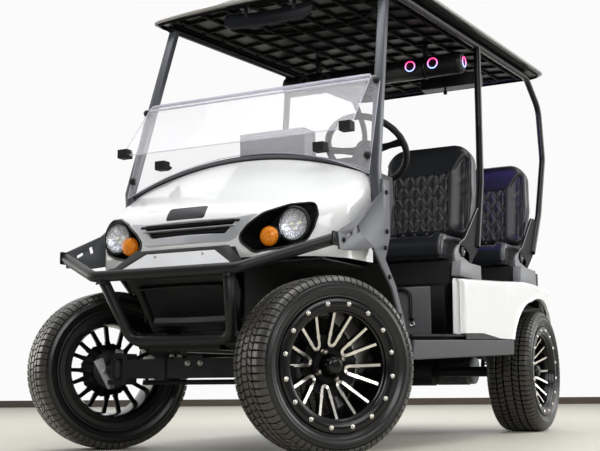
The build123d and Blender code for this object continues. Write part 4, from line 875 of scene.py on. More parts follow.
# ---- Turn lamps ----
# A deep acrylic dome in a black collar, moulded inside in square prisms, over a bright backing.
# orange cells, from yellow at their middles to red at their edges, with a faint glow of their own
amber, tree, shader, place = bare_finish("amber_acrylic", "f0790c", 0.1, Transmission_Weight=0.25, IOR=1.49,
                                         Emission_Color=linear("ff7a00"), Emission_Strength=0.12)
prisms = cellular(tree, place, 120.0)
feed(shader,
     {"Base Color": between(tree, prisms, "ffb02e", "d24e00"), "Normal": dented(tree, prisms, 0.6, 0.002)})
DOME = [(33, -16), (33, 0), (31, 6), (25, 11.5), (15, 15), (0.2, 16.2)]
COLLAR = [(30, -30), (37, -20), (37, -10), (35, -6), (33.2, -6), (33.2, -14)]
SOCKET = [(24, -68), (24, -20), (30, -18)]
for side, label in SIDES:
    centre = Vector((1204, side * 286, 721))
    parts = [turned("lamp", profile, centre, X_AXIS, finish, steps=steps, smooth=50) for profile, finish,
             steps in
             ((DOME, amber, 48), (COLLAR, dark_abs, 48), (SOCKET, dark_abs, 32))]
    fixed(f"{label}_turn_lamp", parts, "lamp_amber", *(["turn_signals"] if side > 0 else []))

# ---- Brush guard and its side brackets ----
# A bent steel tube round the nose with a loop below, welded where they meet.
# Two laser-cut plates tie its ends to the cowl and carry on down to the rockers.
# textured powder coat: black with a coarse orange peel that breaks the highlight along each tube
guard_coat = grained("textured_black_powder_coat", "101114", "090a0c", 0.4, 0.0025, 0.00025)
guard_line = rounded([(1240, 548, 690), (1405, 285, 596), (1405, -285, 596), (1240, -548, 690)], 60, steps=10,
                     closed=False)
loop_line = rounded([(1402, 250, 590), (1296, 199, 378), (1296, -199, 378), (1402, -250, 590)], 50, steps=10,
                    closed=False)
tubes = [rod("tube", line, 19, guard_coat, sides=8) for line in (guard_line, loop_line)]
for side in (1, -1):
    bead = [Vector((1402, side * 250, 576)) + Vector((cos(t) * 20.5, sin(t) * 20.5, -4 + 2 * cos(3 * t)))
            for t in turns(24)]
    tubes.append(rod("weld", bead, 2.4, guard_coat, closed=True, sides=2))
for side in (1, -1):
    tubes.append(plate("tab", oblong(0, 0, 42, 46, 6), 6, abeam(side, 549, 1222, 668), guard_coat))
fixed("brush_guard_tubes", tubes, "guard_black", "brush_guard")

# satin dark grey enamel, its cut edges catching the light
bracket_enamel = grained("satin_grey_enamel_on_steel", "5c5e64", "4c4e54", 0.38, 0.003, 0.00008)
plates = softened("side_brackets", "brackets", 1.2, bracket_enamel)
bolts = [hex_bolt((x, side * 559, z), Y_AXIS * side, 13, dark_abs) for side in (1, -1)
         for x, z in ((1195, 690), (858, 700), (842, 760), (842, 900), (830, 600), (742, 470))]
fixed("guard_side_brackets", [plates, *bolts], "bracket_grey", "side_brackets")

# ---- Wheel arch liners, dash and column ----
# Black moulded liners close the wheel arches and make the toe board. The dash is a deep moulding under a
# raised lip that follows the cowl's rear edge, with a paler instrument pod standing on its left half.
# liner polyethylene: a dull black with a coarse pebbled grain
liner_plastic = grained("textured_black_polyethylene", "0d0e0f", "070808", 0.62, 0.003, 0.0004)
as_packed("wheel_arch_liners", "arch_liners", 1.5, liner_plastic, "liner_black")
# a soft charcoal with a leather grain
dash_plastic = grained("moulded_dash_plastic", "1a1b1e", "121315", 0.5, 0.0016, 0.00015)
dash = softened("dashboard", "dash_shell", 2.2, dash_plastic)
# a satin mid grey that outlines the cowl's rear edge
lip_grey = grained("satin_grey_dash_trim", "6d6f75", "5d5f65", 0.4, 0.0014, 0.00006)
arch = arc_through((-515, 965), (0, 1066), (515, 965), 40)
# the trim band stands just ahead of the cowl's rear edge, over a thin black seal
band = [(868, -3), (872, 2), (872, 13), (866, 17), (850, 18), (850, -3)]
dash_parts = [dash, bar_of("band", [[(x, y, z + dz) for x, dz in band] for y, z in arch], lip_grey),
              rod("seal", [(873, y, z + 1) for y, z in arch], 3.2, dark_abs, sides=3)]
# a pale grey moulding that shows through the windshield
pod_grey = grained("pale_grey_instrument_pod", "8d8f95", "7d7f85", 0.42, 0.0014, 0.0001)
POD_FACE = 703
pod_line = rounded([(-74, 1064), (214, 1064), (210, 1189), (-66, 1189)], 12)
dash_parts.append(plate("pod", pod_line, 96, ahead(POD_FACE), pod_grey, ease=5))
dash_parts.append(plate("shelf", oblong(-78, 1060, 218, 1078, 4), 104, ahead(700), dash_plastic, ease=2))
# on the driver's side: a round gauge, a row of rocker switches, a key, and two cubby mouths
gauge_centre = (POD_FACE, 130, 1130)
tick = plate("tick", oblong(31, -0.8, 37, 0.8), 1, lambda a, b, c: (a, b, c + 2.2), silver_abs, ease=0)
dash_parts += [turned("gauge", [(46, 0), (46, 7), (43, 9), (40, 6), (40, 2), (0.1, 2)], gauge_centre, -X_AXIS,
                      dark_abs),
               turned("needle_hub", [(5, 2), (5, 5), (0.1, 6)], gauge_centre, -X_AXIS, zinc, steps=20),
               around("ticks", tick, 19, gauge_centre, -X_AXIS, silver_abs, sweep=radians(285))]
for y in (-34, 0, 34):
    dash_parts.append(plate("switch", wedge(12, -18, 12, 18, 3), 6, ahead(POD_FACE, y, 1124, way=-1),
                            dark_abs))
dash_parts.append(turned("key", [(13, 0), (13, 5), (9, 8), (3, 8), (3, 20), (0.1, 20)], (646, 120, 980),
                         (-1, 0, 0.1),
                         zinc, steps=32))
for middle in (-300, 300):
    dash_parts.append(plate("cubby", wedge(110, 0, 110, 74, 16), 5,
                            lambda a, b, c: (634 - c + (b - 40) * 0.02, middle + a, 912 + b), pod_grey,
                            holes=[wedge(100, 8, 100, 66, 12)]))
fixed("dashboard_and_pod", dash_parts, "dash_black", "dashboard")

hub_centre = Vector((356, 268, 1176))
shroud_aim = Vector((cos(radians(47)), 0, -sin(radians(47))))     # down the steering column
stalk_root = hub_centre + shroud_aim * 70
stalk = [stalk_root + Vector((0, s, s * 0.12)) for s in (-38, -70, -110, -135)]
column = [softened("steering_column", "column", 1, dash_plastic),
          turned("shroud", [(34, 0), (41, 6), (44, 70), (46, 150), (40, 160), (26, 162)],
                 hub_centre + shroud_aim * 34,
                 shroud_aim, dash_plastic, steps=40),
          rod("stalk", stalk, 5, dark_abs),
          turned("stalk_end", [(4, 0), (8, 4), (9, 22), (6, 30), (0.1, 32)],
                 stalk_root + Vector((0, -128, -15)),
                 (0, -1, -0.12), dark_abs, steps=24)]
fixed("steering_column_shroud", column, "column_black", "steering_column")

pedal_up, pedal_out = Vector((0.438, 0, 0.899)), Vector((-0.899, 0, 0.438))
pedals = [softened("pedals", "pedal_arms", 1.2, dark_abs)]
for y, half in ((205, 26), (320, 34)):
    for n in range(5):
        low = Vector((722 + n * 8.2, y, 509 + n * 16.8))
        pedals.append(plate("tread", wedge(half, -3, half, 3), 2.5,
                            lambda a, b, c: low + Vector((0, a, 0)) + pedal_up * b + pedal_out * (c - 0.4),
                            mat_rubber,
                            ease=0.8))
fixed("pedals_with_rubber_treads", pedals, "fascia_black", "pedals")

# ---- Steering wheel ----
# A soft polyurethane rim over a steel ring, on three flat spokes with a padded hub.
# It rides on its own body; on the cart it turns ten turns for one of the road wheels.
# soft polyurethane: black and leathery, with a low even sheen
soft_rim = grained("integral_skin_polyurethane", "141517", "0c0d0e", 0.5, 0.0012, 0.00012)
up_wheel = shroud_aim.cross(Y_AXIS)
RING, GRIP = 166, 13.6                       # the rim's radius, and its section's


def on_wheel(along, up, through=0.0):
    """A point of the steering wheel's plane: to its left, up it, and towards the driver."""
    return hub_centre + Y_AXIS * along + up_wheel * up - shroud_aim * through


ring_rows = []
for turn in turns(96):
    # finger scallops run all round the grip
    grip = GRIP + 0.5 * cos(24 * turn)
    reaches = [(RING + grip * cos(t), grip * sin(t)) for t in turns(16)]
    ring_rows.append([on_wheel(reach * cos(turn), reach * sin(turn), depth) for reach, depth in reaches])
wheel_parts = [skinned("rim", ring_rows + ring_rows[:1], soft_rim, around=True, smooth=60)]
for angle in (8, 172, 270):
    run_y, run_z = cos(radians(angle)), sin(radians(angle))
    rows = []
    for reach, half, thick, drop in ((30, 24, 7, 6), (60, 17, 5.5, 6), (110, 13, 4.5, 3), (150, 16, 5, 0),
                                     (162, 20, 6, 0)):
        section = ((-half, -thick), (half, -thick), (half * 1.04, 0), (half * 0.86, thick),
                   (-half * 0.86, thick),
                   (-half * 1.04, 0))
        rows.append([on_wheel(run_y * reach - run_z * side, run_z * reach + run_y * side, depth - drop - 4)
                     for side, depth in section])
    wheel_parts.append(bar_of("spoke", rows, soft_rim, smooth=30))
wheel_parts.append(turned("hub", [(30, -30), (43, -26), (47, -10), (46, 6), (38, 14), (20, 17), (0.1, 18)],
                          hub_centre,
                          -shroud_aim, soft_rim, smooth=50))
wheel_parts.append(rod("hub_seam", [on_wheel(34 * cos(t), 34 * sin(t), 15.2) for t in turns(48)], 1.0,
                       dark_abs,
                       closed=True, sides=2))
fitted(merged("steering_wheel_rim_and_hub", wheel_parts), "steering_wheel", "wheel_black", "steering_wheel")

# ---- Front pillars ----
# Rectangular steel pillars on a folded foot beside the cowl.
# Each carries its glass on black rubber-faced knobs.
# pillar enamel: a satin grey with a little metal in it, so that its faces part in tone
pillar_coat = grained("satin_silver_grey_enamel", "5d5f65", "4e5056", 0.33, 0.003, 0.00006, metallic=0.3)
pillars = softened("front_pillars", "pillars", 4, pillar_coat, segments=3)
feet = [hex_bolt((845, side * 550.3, z), Y_AXIS * side, 12, dark_abs) for side in (1, -1) for z in (790, 930)]
fixed("front_pillars_and_bolts", [pillars, *feet], "pillar_grey", "front_pillars")

# ---- Windshield ----
# Two cast acrylic panes: the lower fixed to the pillars, the upper folded forwards and down on a long bead.
# clear acrylic: nearly unseen, with a faint haze that dulls its reflections in patches
clear_acrylic, tree, shader, place = bare_finish("cast_clear_acrylic", "f2f2f8", 0.03, IOR=1.49, Alpha=0.13)
haze = add_node(tree, "ShaderNodeTexNoise", {"Vector": place, "Scale": 3.0}).outputs["Fac"]
feed(shader, {"Roughness": ranged(tree, haze, 0.01, 0.06)})
# the frosted sawn edge, milky and faintly violet, with painted light: the light gathered in the sheet, shown
# as it leaves there
acrylic_edge_frost_and_glow = grained("sawn_acrylic_edge_painted_glow", "d9d8e6", "bfbfd2", 0.4, 0.004, 0.0002, drift=0.06, Alpha=0.8)
# a clean black with a soft highlight
dark_knob = grained("black_nylon_knob", "151618", "0e0f10", 0.4, 0.0015, 0.0001)

LOW_FOOT = Vector((884.5, 0, 1022))          # the lower pane's foot, on the middle line
low_up, low_out = Vector((-0.306, 0, 1)).normalized(), Vector((1, 0, 0.306)).normalized()
HINGE, FOLD_END = Vector((790.5, 0, 1354.2)), Vector((986, 0, 1111))
fold_up = (FOLD_END - HINGE).normalized()
fold_out = fold_up.cross(Y_AXIS) * -1
fold_long = hypot(986 - 790.5, 1111 - 1354.2)


def on_lower(along, up, through=0.0):
    """A point of the lower pane's plane, out from its back."""
    return LOW_FOOT + Vector((0, along, 0)) + low_up * up + low_out * through


def on_upper(along, up, through=0.0):
    """A point of the folded upper pane's plane, down from its hinge."""
    return HINGE + Vector((0, along, 0)) + fold_up * up - fold_out * through


glass_top = (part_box("windshield_lower")[1].z * 1000 - LOW_FOOT.z) / low_up.z - 2
lower_line = [*arc_through((-522, -66), (0, 71), (522, -66), 36),
              *rounded([(522, -66), (522, glass_top), (-522, glass_top), (-522, -66)], 30,
                       closed=False)[1:-1]]
KNOB = [(9, -7), (9, 0), (9, 5), (13, 6), (14.5, 11), (12, 17), (7, 19), (0.1, 19)]
knobs = [turned("knob", KNOB, on_lower(side * 511, up), low_out, dark_knob, steps=32)
         for side in (1, -1) for up in (6, glass_top - 24)]
# the hinge's bead, and two thin rails of clear extrusion along the fold, drawn in the edge's pale colour as a
# painted highlight
hinge = [turned("bead", [(4.7, -455), (4.7, 455)], HINGE, Y_AXIS, acrylic_edge_frost_and_glow, steps=16)]
for up in (3, 30):
    hinge.append(plate("rail", oblong(-486, up, 486, up + 7), 6, lambda a, b, c: on_upper(a, b, c - 0.4),
                       acrylic_edge_frost_and_glow,
                       ease=1))
for label, line, lay, hardware in (
        ("lower", lower_line, on_lower, ("windshield_knobs", knobs, "clip_rubber")),
        ("upper", wedge(490, 0, 490, fold_long, 18), on_upper,
         ("windshield_hinge_bead", hinge, "windshield"))):
    fixed(*hardware)
    pane = plate("pane", line, 5, lay, clear_acrylic, ease=0.6)
    edges = [rod("edge", [lay(*point[:2], depth) for point in line], 0.8, acrylic_edge_frost_and_glow, closed=True, sides=1)
             for depth in (0.6, 4.4)]
    fixed(f"windshield_{label}_pane", [pane], "windshield", f"windshield_{label}")
    fixed(f"windshield_{label}_edge", edges, "windshield")

# a flat black, on the blocks that grip the folded pane and the arms from the lower one
rubber = grained("black_epdm_rubber", "17181a", "0f1011", 0.7, 0.002, 0.0003)
as_packed("windshield_clips", "windshield_catches", 5, rubber, "clip_rubber", segments=3)

# ---- Roof struts ----
# Round steel tubes: one each side runs under the roof as its rail and bends down behind the rear seat,
# and a middle strut stands behind the front seat.
# tube coat: satin black, smooth enough to draw a bright line along each bend
strut_coat = grained("satin_black_tube_coat", "101114", "090a0c", 0.3, 0.004, 0.00008)
struts = softened("roof_struts", "struts", 0.6, strut_coat)
struts.data.shade_smooth()
struts.name = "roof_strut_tubes"
fitted(struts, "chassis", "frame_black", "roof_struts")

# ---- Roof ----
# A twin-sheet thermoformed roof: a smooth crown whose rim rolls down all round, and a ribbed underside.
# Moulded stiffening ribs cross under it in a waffle, with a raised oval near the front for the mirror.
# roof sheet: a dark gloss that mirrors the room in a broad soft sweep
roof_gloss = grained("gloss_dark_roof_sheet", "2b2c2f", "232427", 0.2, 0.002, 0.00002, drift=0.3,
                     Coat_Weight=0.4,
                     Coat_Roughness=0.06)
# the rim's outer face, paler and warmer than the crown: a painted reflection of the bright room on its
# upright faces
roof_rim_painted_reflection = grained("roof_rim_painted_reflection_grey", "8f8d88", "807e79", 0.3, 0.002, 0.00003)
# the ribs, painted near black beside the panels of the same moulding as painted shade, and with so little
# shine that the panels between them look lighter
roof_ribs_painted_shade = grained("roof_ribs_painted_shade", "060607", "040404", 0.65, 0.0022, 0.00012,
                     Specular_IOR_Level=0.08)
roof_cell = grained("roof_underside_panel", "181918", "0d0e0e", 0.42, 0.0022, 0.00012)
ROOF_HALF, ROOF_MIDDLE, ROOF_REACH = 570, -290, 1052
ROOF_FALL = 0.0612                           # the roof's fall for its run forwards


def roof_outline(inset):
    """The roof's plan: square at the tail, bowed at the brow, with round corners."""
    half = ROOF_HALF - inset
    brow = arc_through((690, half), (760 - inset, 0), (690, -half), 24)
    tail, front = 90 - inset * 0.6, 80 - inset * 0.6
    return rounded([(-1345 + inset, -half), (-1345 + inset, half), *brow],
                   [tail] * 2 + [front] + [0] * 23 + [front])


def roof_z(x, height):
    """The height of a place so much over the roof's sloping foot."""
    return 1781.3 - ROOF_FALL * x + height


def crown(y):
    """How far the roof's crown stands over its rim, across its width."""
    return 20 + 38 * (1 - (y / ROOF_HALF) ** 2)


whole_outline = evened(roof_outline(0), 200)


def roof_ring(inset, height, crowned):
    """One ring of the roof at an inset from its outline; crowned blends its height into the crown's."""
    ring = []
    for x, y in whole_outline:
        px = ROOF_MIDDLE + (x - ROOF_MIDDLE) * (ROOF_REACH - inset) / ROOF_REACH
        py = y * (ROOF_HALF - inset) / ROOF_HALF
        ring.append((px, py, roof_z(px, height * (1 - crowned) + crown(py) * crowned)))
    return ring


shell_rings = [(34, 3, 0), (6, 1, 0), (1, 4, 0), (0, 9, 0), (0.8, 15, 0), (5, 20, 0), (16, 22, 0.1),
               (28, 22, 0.35),
               (44, 22, 0.65), (66, 22, 0.9), *[(inset, 22, 1) for inset in (90, 160, 260, 360, 460, 569)]]
shell = skinned("roof_shell", [roof_ring(*ring) for ring in shell_rings], roof_gloss, around=True, smooth=50)
shell.data.materials.append(roof_rim_painted_reflection)
for face in shell.data.polygons:
    # the rim's upright outer face, which takes the painted reflection
    height = face.center.z + ROOF_FALL * face.center.x - 1.7813
    if 0.002 < height < 0.019 and abs(face.normal.z) < 0.8:
        face.material_index = 1


def under_lay(x, y, z):
    """A place on the roof's underside, which is dished up between the rails, hung below it by -z."""
    dish = 24 * (1 - (y / 470) ** 2) if abs(y) < 470 else 0.0
    return (x, y, roof_z(x, 3.5 + dish) + z)


under_rows = [[under_lay(x, y, 0) for x, y, z in roof_ring(inset, 0, 0)]
              for inset in (30, 60, 100, 160, 240, 320, 400, 480, 569)]
under = [skinned("under", under_rows, roof_cell, around=True, smooth=50)]
long_rib = plate("rib", wedge(9, 0, 6, -13), 1960, lambda a, b, c: (c - 980, a, b), roof_ribs_painted_shade, ease=0)
under.append(in_rows("long_ribs", long_rib, 1, 9, (1, 108), (-300, -432, 0), roof_ribs_painted_shade, under_lay))
cross_rib = bar_of("rib",
                   [[(-8, y, 0), (8, y, 0), (5, y, -12), (-5, y, -12)] for y in np.linspace(-462, 462, 23)],
                   roof_ribs_painted_shade)
under.append(in_rows("cross_ribs", cross_rib, 13, 1, (156, 1), (-1250, 0, 0), roof_ribs_painted_shade, under_lay))
under += [rod("side_rib", [under_lay(x, side * 486, -3) for x in (-1290, 650)], 9, roof_ribs_painted_shade, sides=3)
          for side in (1, -1)]
under.append(rod("oval_ring", [under_lay(430 + 235 * cos(t), 330 * sin(t), -9) for t in turns(64)], 8,
                 roof_ribs_painted_shade,
                 closed=True, sides=4))
under.append(rod("gutter", [(x, y, roof_z(x, 0.5)) for x, y in evened(roof_outline(22), 120)], 7, roof_ribs_painted_shade,
                 closed=True, sides=4))
fitted(shell, "chassis", "roof_black", "roof")
fixed("roof_underside", under, "roof_black")

# ---- Mirror ----
# A wide convex mirror, hung under the brow on two folded arms.
# mirror shell: gloss black with a trace of blue in it
mirror_gloss = grained("gloss_black_mirror_shell", "1f2126", "17181c", 0.18, 0.0015, 0.00003)
# a clean mirror with faint smears
mirror_silver, tree, shader, place = bare_finish("silvered_mirror_glass", "e8ebee", 0.03, 1.0)
smear = add_node(tree, "ShaderNodeTexNoise", {"Vector": place, "Scale": 20.0, "Detail": 3.0}).outputs["Fac"]
feed(shader, {"Roughness": ranged(tree, smear, 0.02, 0.08)})
MIRROR_X, MIRROR_Z = 662, 1690


def mirror_bow(y):
    """How far forwards the convex mirror curves at y."""
    return 30 * (y / 200) ** 2


rows = []
for y in np.linspace(-200, 200, 33):
    tall = 32 * (1 - max(0, (abs(y) - 165) / 35) ** 2 * 0.45)
    rows.append([(MIRROR_X + mirror_bow(y) + 8 + 8.5 * cos(t), y, MIRROR_Z + tall * sin(t))
                 for t in turns(20)])
mirror = [bar_of("mirror_housing", rows, mirror_gloss, smooth=60)]
rows = [[(MIRROR_X + mirror_bow(y) - 1.5, y, MIRROR_Z + z) for z in (-26, 0, 26)]
        for y in np.linspace(-190, 190, 25)]
mirror.append(walled(skinned("mirror_glass", rows, mirror_silver, smooth=60), 0.002, 0, False))
for side in (1, -1):
    mirror.append(rod("arm", [(684, side * 110, 1700), (684, side * 110, 1722), (688, side * 112, 1742)], 8,
                      dark_abs))
    mirror.append(plate("foot", wedge(18, -22, 18, 22, 6), 5,
                        lambda a, b, c: (688 + a, side * 112 + b, 1742 - ROOF_FALL * a - c), dark_abs))
    mirror.append(turned("ball", [(4, -14), (12, -10), (14, 0), (12, 10), (4, 14)], (684, side * 178, 1694),
                         Z_AXIS,
                         dark_abs, steps=24))
fixed("rear_view_mirror_assembly", mirror, "mirror_black", "rear_view_mirror")

# ---- Sound bar ----
# A tubular speaker bar under the roof between the rows, with six drivers. The left three glow in
# violet rings, and an amplifier box hangs behind it.
# speaker housing: a smooth satin black
bar_shell = grained("black_speaker_housing", "17181b", "101113", 0.35, 0.0016, 0.00012)
# matt, with a fine weave in relief
cone = grained("woven_speaker_cone", "101114", "08090a", 0.6, 0.001, 0.0003)
# lit from within, pale blue at its foot and pink at its head
violet_ring, tree, shader, place = bare_finish("violet_led_light_guide", "d060ff", 0.3, Emission_Strength=2.2)
height = add_node(tree, "ShaderNodeSeparateXYZ", {0: place}).outputs["Z"]
shade = between(tree, ranged(tree, height, 0.0, 1.0, From_Min=1.668, From_Max=1.714), "8fb4ff", "ff2f7d")
feed(shader, {"Emission Color": shade, "Base Color": shade})
BAR_END = [(50, 160), (50, 446), (47, 458), (36, 465), (0.1, 466)]
bar_profile = [*[(radius, -along) for radius, along in BAR_END[::-1]], (48.5, -158), (48.5, 158), *BAR_END]
bar = [turned("bar", bar_profile, (-300, 0, 1692), Y_AXIS, bar_shell, steps=64, smooth=40)]
DRIVER = [(33, 0), (33, 14), (30, 15.5), (26.5, 15), (21, 8), (9, 5), (7.5, 9), (4, 11), (0.1, 11.5)]
END_DRIVER = [(33, -4), (32, 1), (0.1, 1)]
for y in (-437, -333, -222, 222, 333, 437):
    if abs(y) > 430:
        # the outer two look out of the bar's ends
        way = 1 if y > 0 else -1
        seat, aim, reach, profile, smooth = (-300, y + 29 * way, 1692), Y_AXIS * way, 2, END_DRIVER, 35
    else:
        seat, aim, reach, profile, smooth = (-262, y, 1692), X_AXIS, 15.2, DRIVER, 50
    bar.append(turned("driver", profile, seat, aim, cone, steps=40, smooth=smooth))
    stand = aim.to_track_quat("Z", "Y")
    ring = [Vector(seat) + stand @ Vector((23 * cos(t), 23 * sin(t), reach)) for t in turns(40)]
    bar.append(rod("ring", ring, 2.6, violet_ring if y > 0 else bar_shell, closed=True, sides=3))
for side in (1, -1):
    bar.append(turned("clamp", [(51.5, -9), (53.5, -7), (53.5, 7), (51.5, 9)], (-300, side * 280, 1692),
                      Y_AXIS,
                      strut_coat))
    bar.append(plate("hanger", wedge(25, 0, 25, 78, 6), 8, lambda a, b,
                     c: (-300 + a, side * 280 + c - 4, 1738 + b),
                     strut_coat))
bar.append(plate("amp", wedge(40, -30, 40, 30, 6), 290, abeam(1, 180, -520, 1668), bar_shell, ease=3))
bar.append(plate("hanger", wedge(15, 0, 15, 110), 34, abeam(1, 308, -520, 1697), strut_coat))
bar.append(turned("knob", [(5, 0), (5, 16), (9, 18), (9, 30), (7, 33), (0.1, 33)], (-500, 300, 1640), -Z_AXIS,
                  bar_shell, steps=24))
fixed("sound_bar_and_amplifier", bar, "speaker_black", "sound_bar")

# ---- Rear body ----
# One gloss white moulding wraps the seats and the tail: it starts beside the front seat with a soft vertical
# groove, rolls over into a flat shoulder, and flares a little over each rear wheel arch.
ARCH = [(-470, 425), (-545, 540), (-700, 606), (-880, 632), (-1050, 607), (-1165, 535), (-1222, 400)]
arch_curve = [*arc_through(*ARCH[0:3], 16), *arc_through(*ARCH[2:5], 16)[1:],
              *arc_through(*ARCH[4:7], 16)[1:]]
arch_x, arch_z = [x for x, z in arch_curve][::-1], [z for x, z in arch_curve][::-1]
ARCH_FRONT, ARCH_BACK = -470, -1222
DECK_X, DECK_HALF = -1235, 518               # the front edge of the deck at the tail
ROLL = 20                                    # the radius of the roll at the top of the side


def body_foot(x):
    """The lower edge of the rear body's side at station x: the sill, then the wheel arch, then the tail."""
    rest = float(np.interp(x, [ARCH_FRONT, -300, -70, 160],
                           [424, 421.5, 436, 427])) if x > ARCH_FRONT else 430.0
    return max(rest, float(np.interp(x, arch_x, arch_z))) if ARCH_BACK < x < ARCH_FRONT else rest


def body_top(x):
    """The height of the rear body's shoulder at station x."""
    return float(np.interp(x, [-666, 160], [700, 650]))


# the body's plan down its left side: the groove by the front edge, the corner, side, quarter and tail
outline = [(156, 546), (157, 549),
           *[(157 - 12 * abs(sin(pi * (y - 551) / 26)) ** 1.5, y) for y in np.linspace(551, 577, 9)],
           *[(110 + 48 * cos(t), 550 + 48 * sin(t)) for t in np.linspace(0.62, pi / 2, 9)],
           *[(x, 598 + 2 * (110 - x) / 530) for x in np.linspace(90, -420, 40)],
           *arc_through((-420, 600), (-780, 622), (-1100, 590), 70)[1:],
           *arc_through((-1100, 590), (-1310, 520), (-1410, 400), 26)[1:],
           *[(-1410, y) for y in np.linspace(340, 0, 6)]]
rows = []
for at, (x, y) in enumerate(outline):
    run = (Vector(outline[min(at + 1, len(outline) - 1)]) - Vector(outline[max(at - 1, 0)])).normalized()
    inward = Vector((-run.y, run.x))
    if inward.dot(Vector((-300 - x, -y))) < 0:
        inward = -inward
    foot, top = body_foot(x), body_top(x)
    # the shoulder runs in to the seat well's edge, or at the tail to the deck's front edge
    if x > DECK_X:
        well = Vector((min(x, 140), float(np.interp(x, [40, 140], [DECK_HALF, 546]))))
    else:
        well = Vector((DECK_X, min(y, DECK_HALF)))
    near_arch = max(0.0, 1 - abs(x - max(min(x, ARCH_FRONT), ARCH_BACK)) / 40)
    row = [(x + inward.x * 22, y + inward.y * 22, foot + 1.5), (x + inward.x * 6, y + inward.y * 6, foot)]
    for share in (0.0, 0.04, 0.1, 0.2, 0.35, 0.5, 0.65, 0.8, 0.92, 1.0):
        z = foot + (top - ROLL - foot) * share
        # the side leans in as it rises, and flares out just over the arch
        lean = 2.0 * share - 5.0 * near_arch * max(0.0, 1 - (z - foot) / 34) ** 2
        # the groove beside the front edge widens upward
        dent = 11.0 * (0.25 + 0.75 * share) * max(0.0, 1 - ((y - 573) / 16) ** 2) if x > 100 else 0.0
        row.append((x + inward.x * lean - dent, y + inward.y * lean, z + (1.5 if share == 0 else 0)))
    edge = Vector(row[-1][:2])
    toward = well - edge
    length = max(toward.length, 0.001)
    for t in (0.3, 0.6, 0.9, 1.2, pi / 2):
        step = toward / length * min(ROLL, length * 0.8) * (1 - cos(t))
        row.append((*(edge + step), top - ROLL + ROLL * sin(t)))
    over = Vector(row[-1][:2])
    row += [(*over.lerp(well, 0.5), top), (*over.lerp(well, 0.96), top), (*well, top - 1.5),
            (*well, top - 16)]
    rows.append(row)
rows += [[(x, -y, z) for x, y, z in row] for row in rows[-2::-1]]
body = skinned("rear_body_shell", rows, gloss_white, smooth=40)
outward = sum(face.normal.y * (1 if face.center.y > 0 else -1) for face in body.data.polygons)
walled(body, 0.004, -1 if outward > 0 else 1, False)
body.data.set_sharp_from_angle(angle=radians(40))
fitted(body, "chassis", "body_white", "rear_body")
# dark sill trim between the body's foot and the rocker, tapering out ahead of the wheel
sill_strips, arch_trims = [], []
for side in (1, -1):
    strip = []
    for x, tall in ((152, 22), (-70, 23), (-292, 2)):
        foot = 409.5 - x * FLOOR_FALL
        strip.append([(x, side * (597.5 + dy), foot + dz)
                      for dy, dz in ((0, 0), (1.8, 0.5), (1.8, tall - 0.5), (0, tall))])
    sill_strips.append(bar_of("sill", strip, dark_abs))
    trim = [(x, side * (float(np.interp(-x, [470, 780, 1100, 1222], [601, 620.5, 590, 565])) - 9), z - 3)
            for x, z in arch_curve if z > 428]
    arch_trims.append(rod("arch_trim", trim, 4, liner_plastic, sides=3))
fixed("sill_trims", sill_strips, "fascia_black")
fixed("rear_arch_trims", arch_trims, "liner_black")

# ---- Seat bases ----
# Folded black steel pods carry both seats. The front one has a kick panel with a black loop handle at each
# side, and a round latch at each handle's foot.
# seat pod enamel: black, with painted shade making it so deep a black that the pods read as one shadow under
# the seats
pod_black_and_shade = grained("seat_pod_black_and_painted_shade", "08090a", "050506", 0.5, 0.003, 0.0001, Specular_IOR_Level=0.12)
# a pale matt grey
kick_grey = grained("moulded_grey_kick_panel", "77787b", "67686b", 0.45, 0.0018, 0.0002)
bases = [softened("seat_bases", "seat_pods", 1.8, pod_black_and_shade),
         plate("kick", wedge(454, 408, 454, 624, 8), 3.4, ahead(160.1), kick_grey, ease=1.2),
         plate("rear_kick", wedge(360, 466, 360, 600, 8), 3, ahead(-689.8), kick_grey, ease=1)]
bases += [plate("seam", oblong(y - 1.2, 412, y + 1.2, 620), 1.0, ahead(163), dark_abs, ease=0)
          for y in (-150, 150)]
for side in (-1, 1):
    middle = side * 326
    handle = [(163, -46, 492), (179, -46, 492), (179, -46, 614), (179, 46, 614), (179, 46, 492),
              (163, 46, 492)]
    bases.append(rod("handle",
                     rounded([(x, middle + y, z) for x, y, z in handle], [4, 8, 34, 34, 8, 4], closed=False),
                     8, dark_abs))
    bases.append(turned("latch", [(12, 0), (12, 3), (10, 5), (5, 5), (4, 3), (0.1, 3)],
                        (163, side * 372, 470), X_AXIS,
                        zinc, steps=32))
fixed("seat_bases_and_panels", bases, "base_black", "seat_bases")

# ---- Hip restraints ----
# Beside each seat a folded step stands on the body's shoulder. A rounded plate on it carries a black
# armrest blade that sweeps up along the strut and holds its foot, pinned by a large domed bolt.
# armrest plastic: black, with so little shine that only its edge shows, where a grey rod along the spine is a
# painted highlight
blade_black = grained("black_moulded_armrest", "08090a", "050506", 0.55, 0.0018, 0.00012,
                      Specular_IOR_Level=0.12)
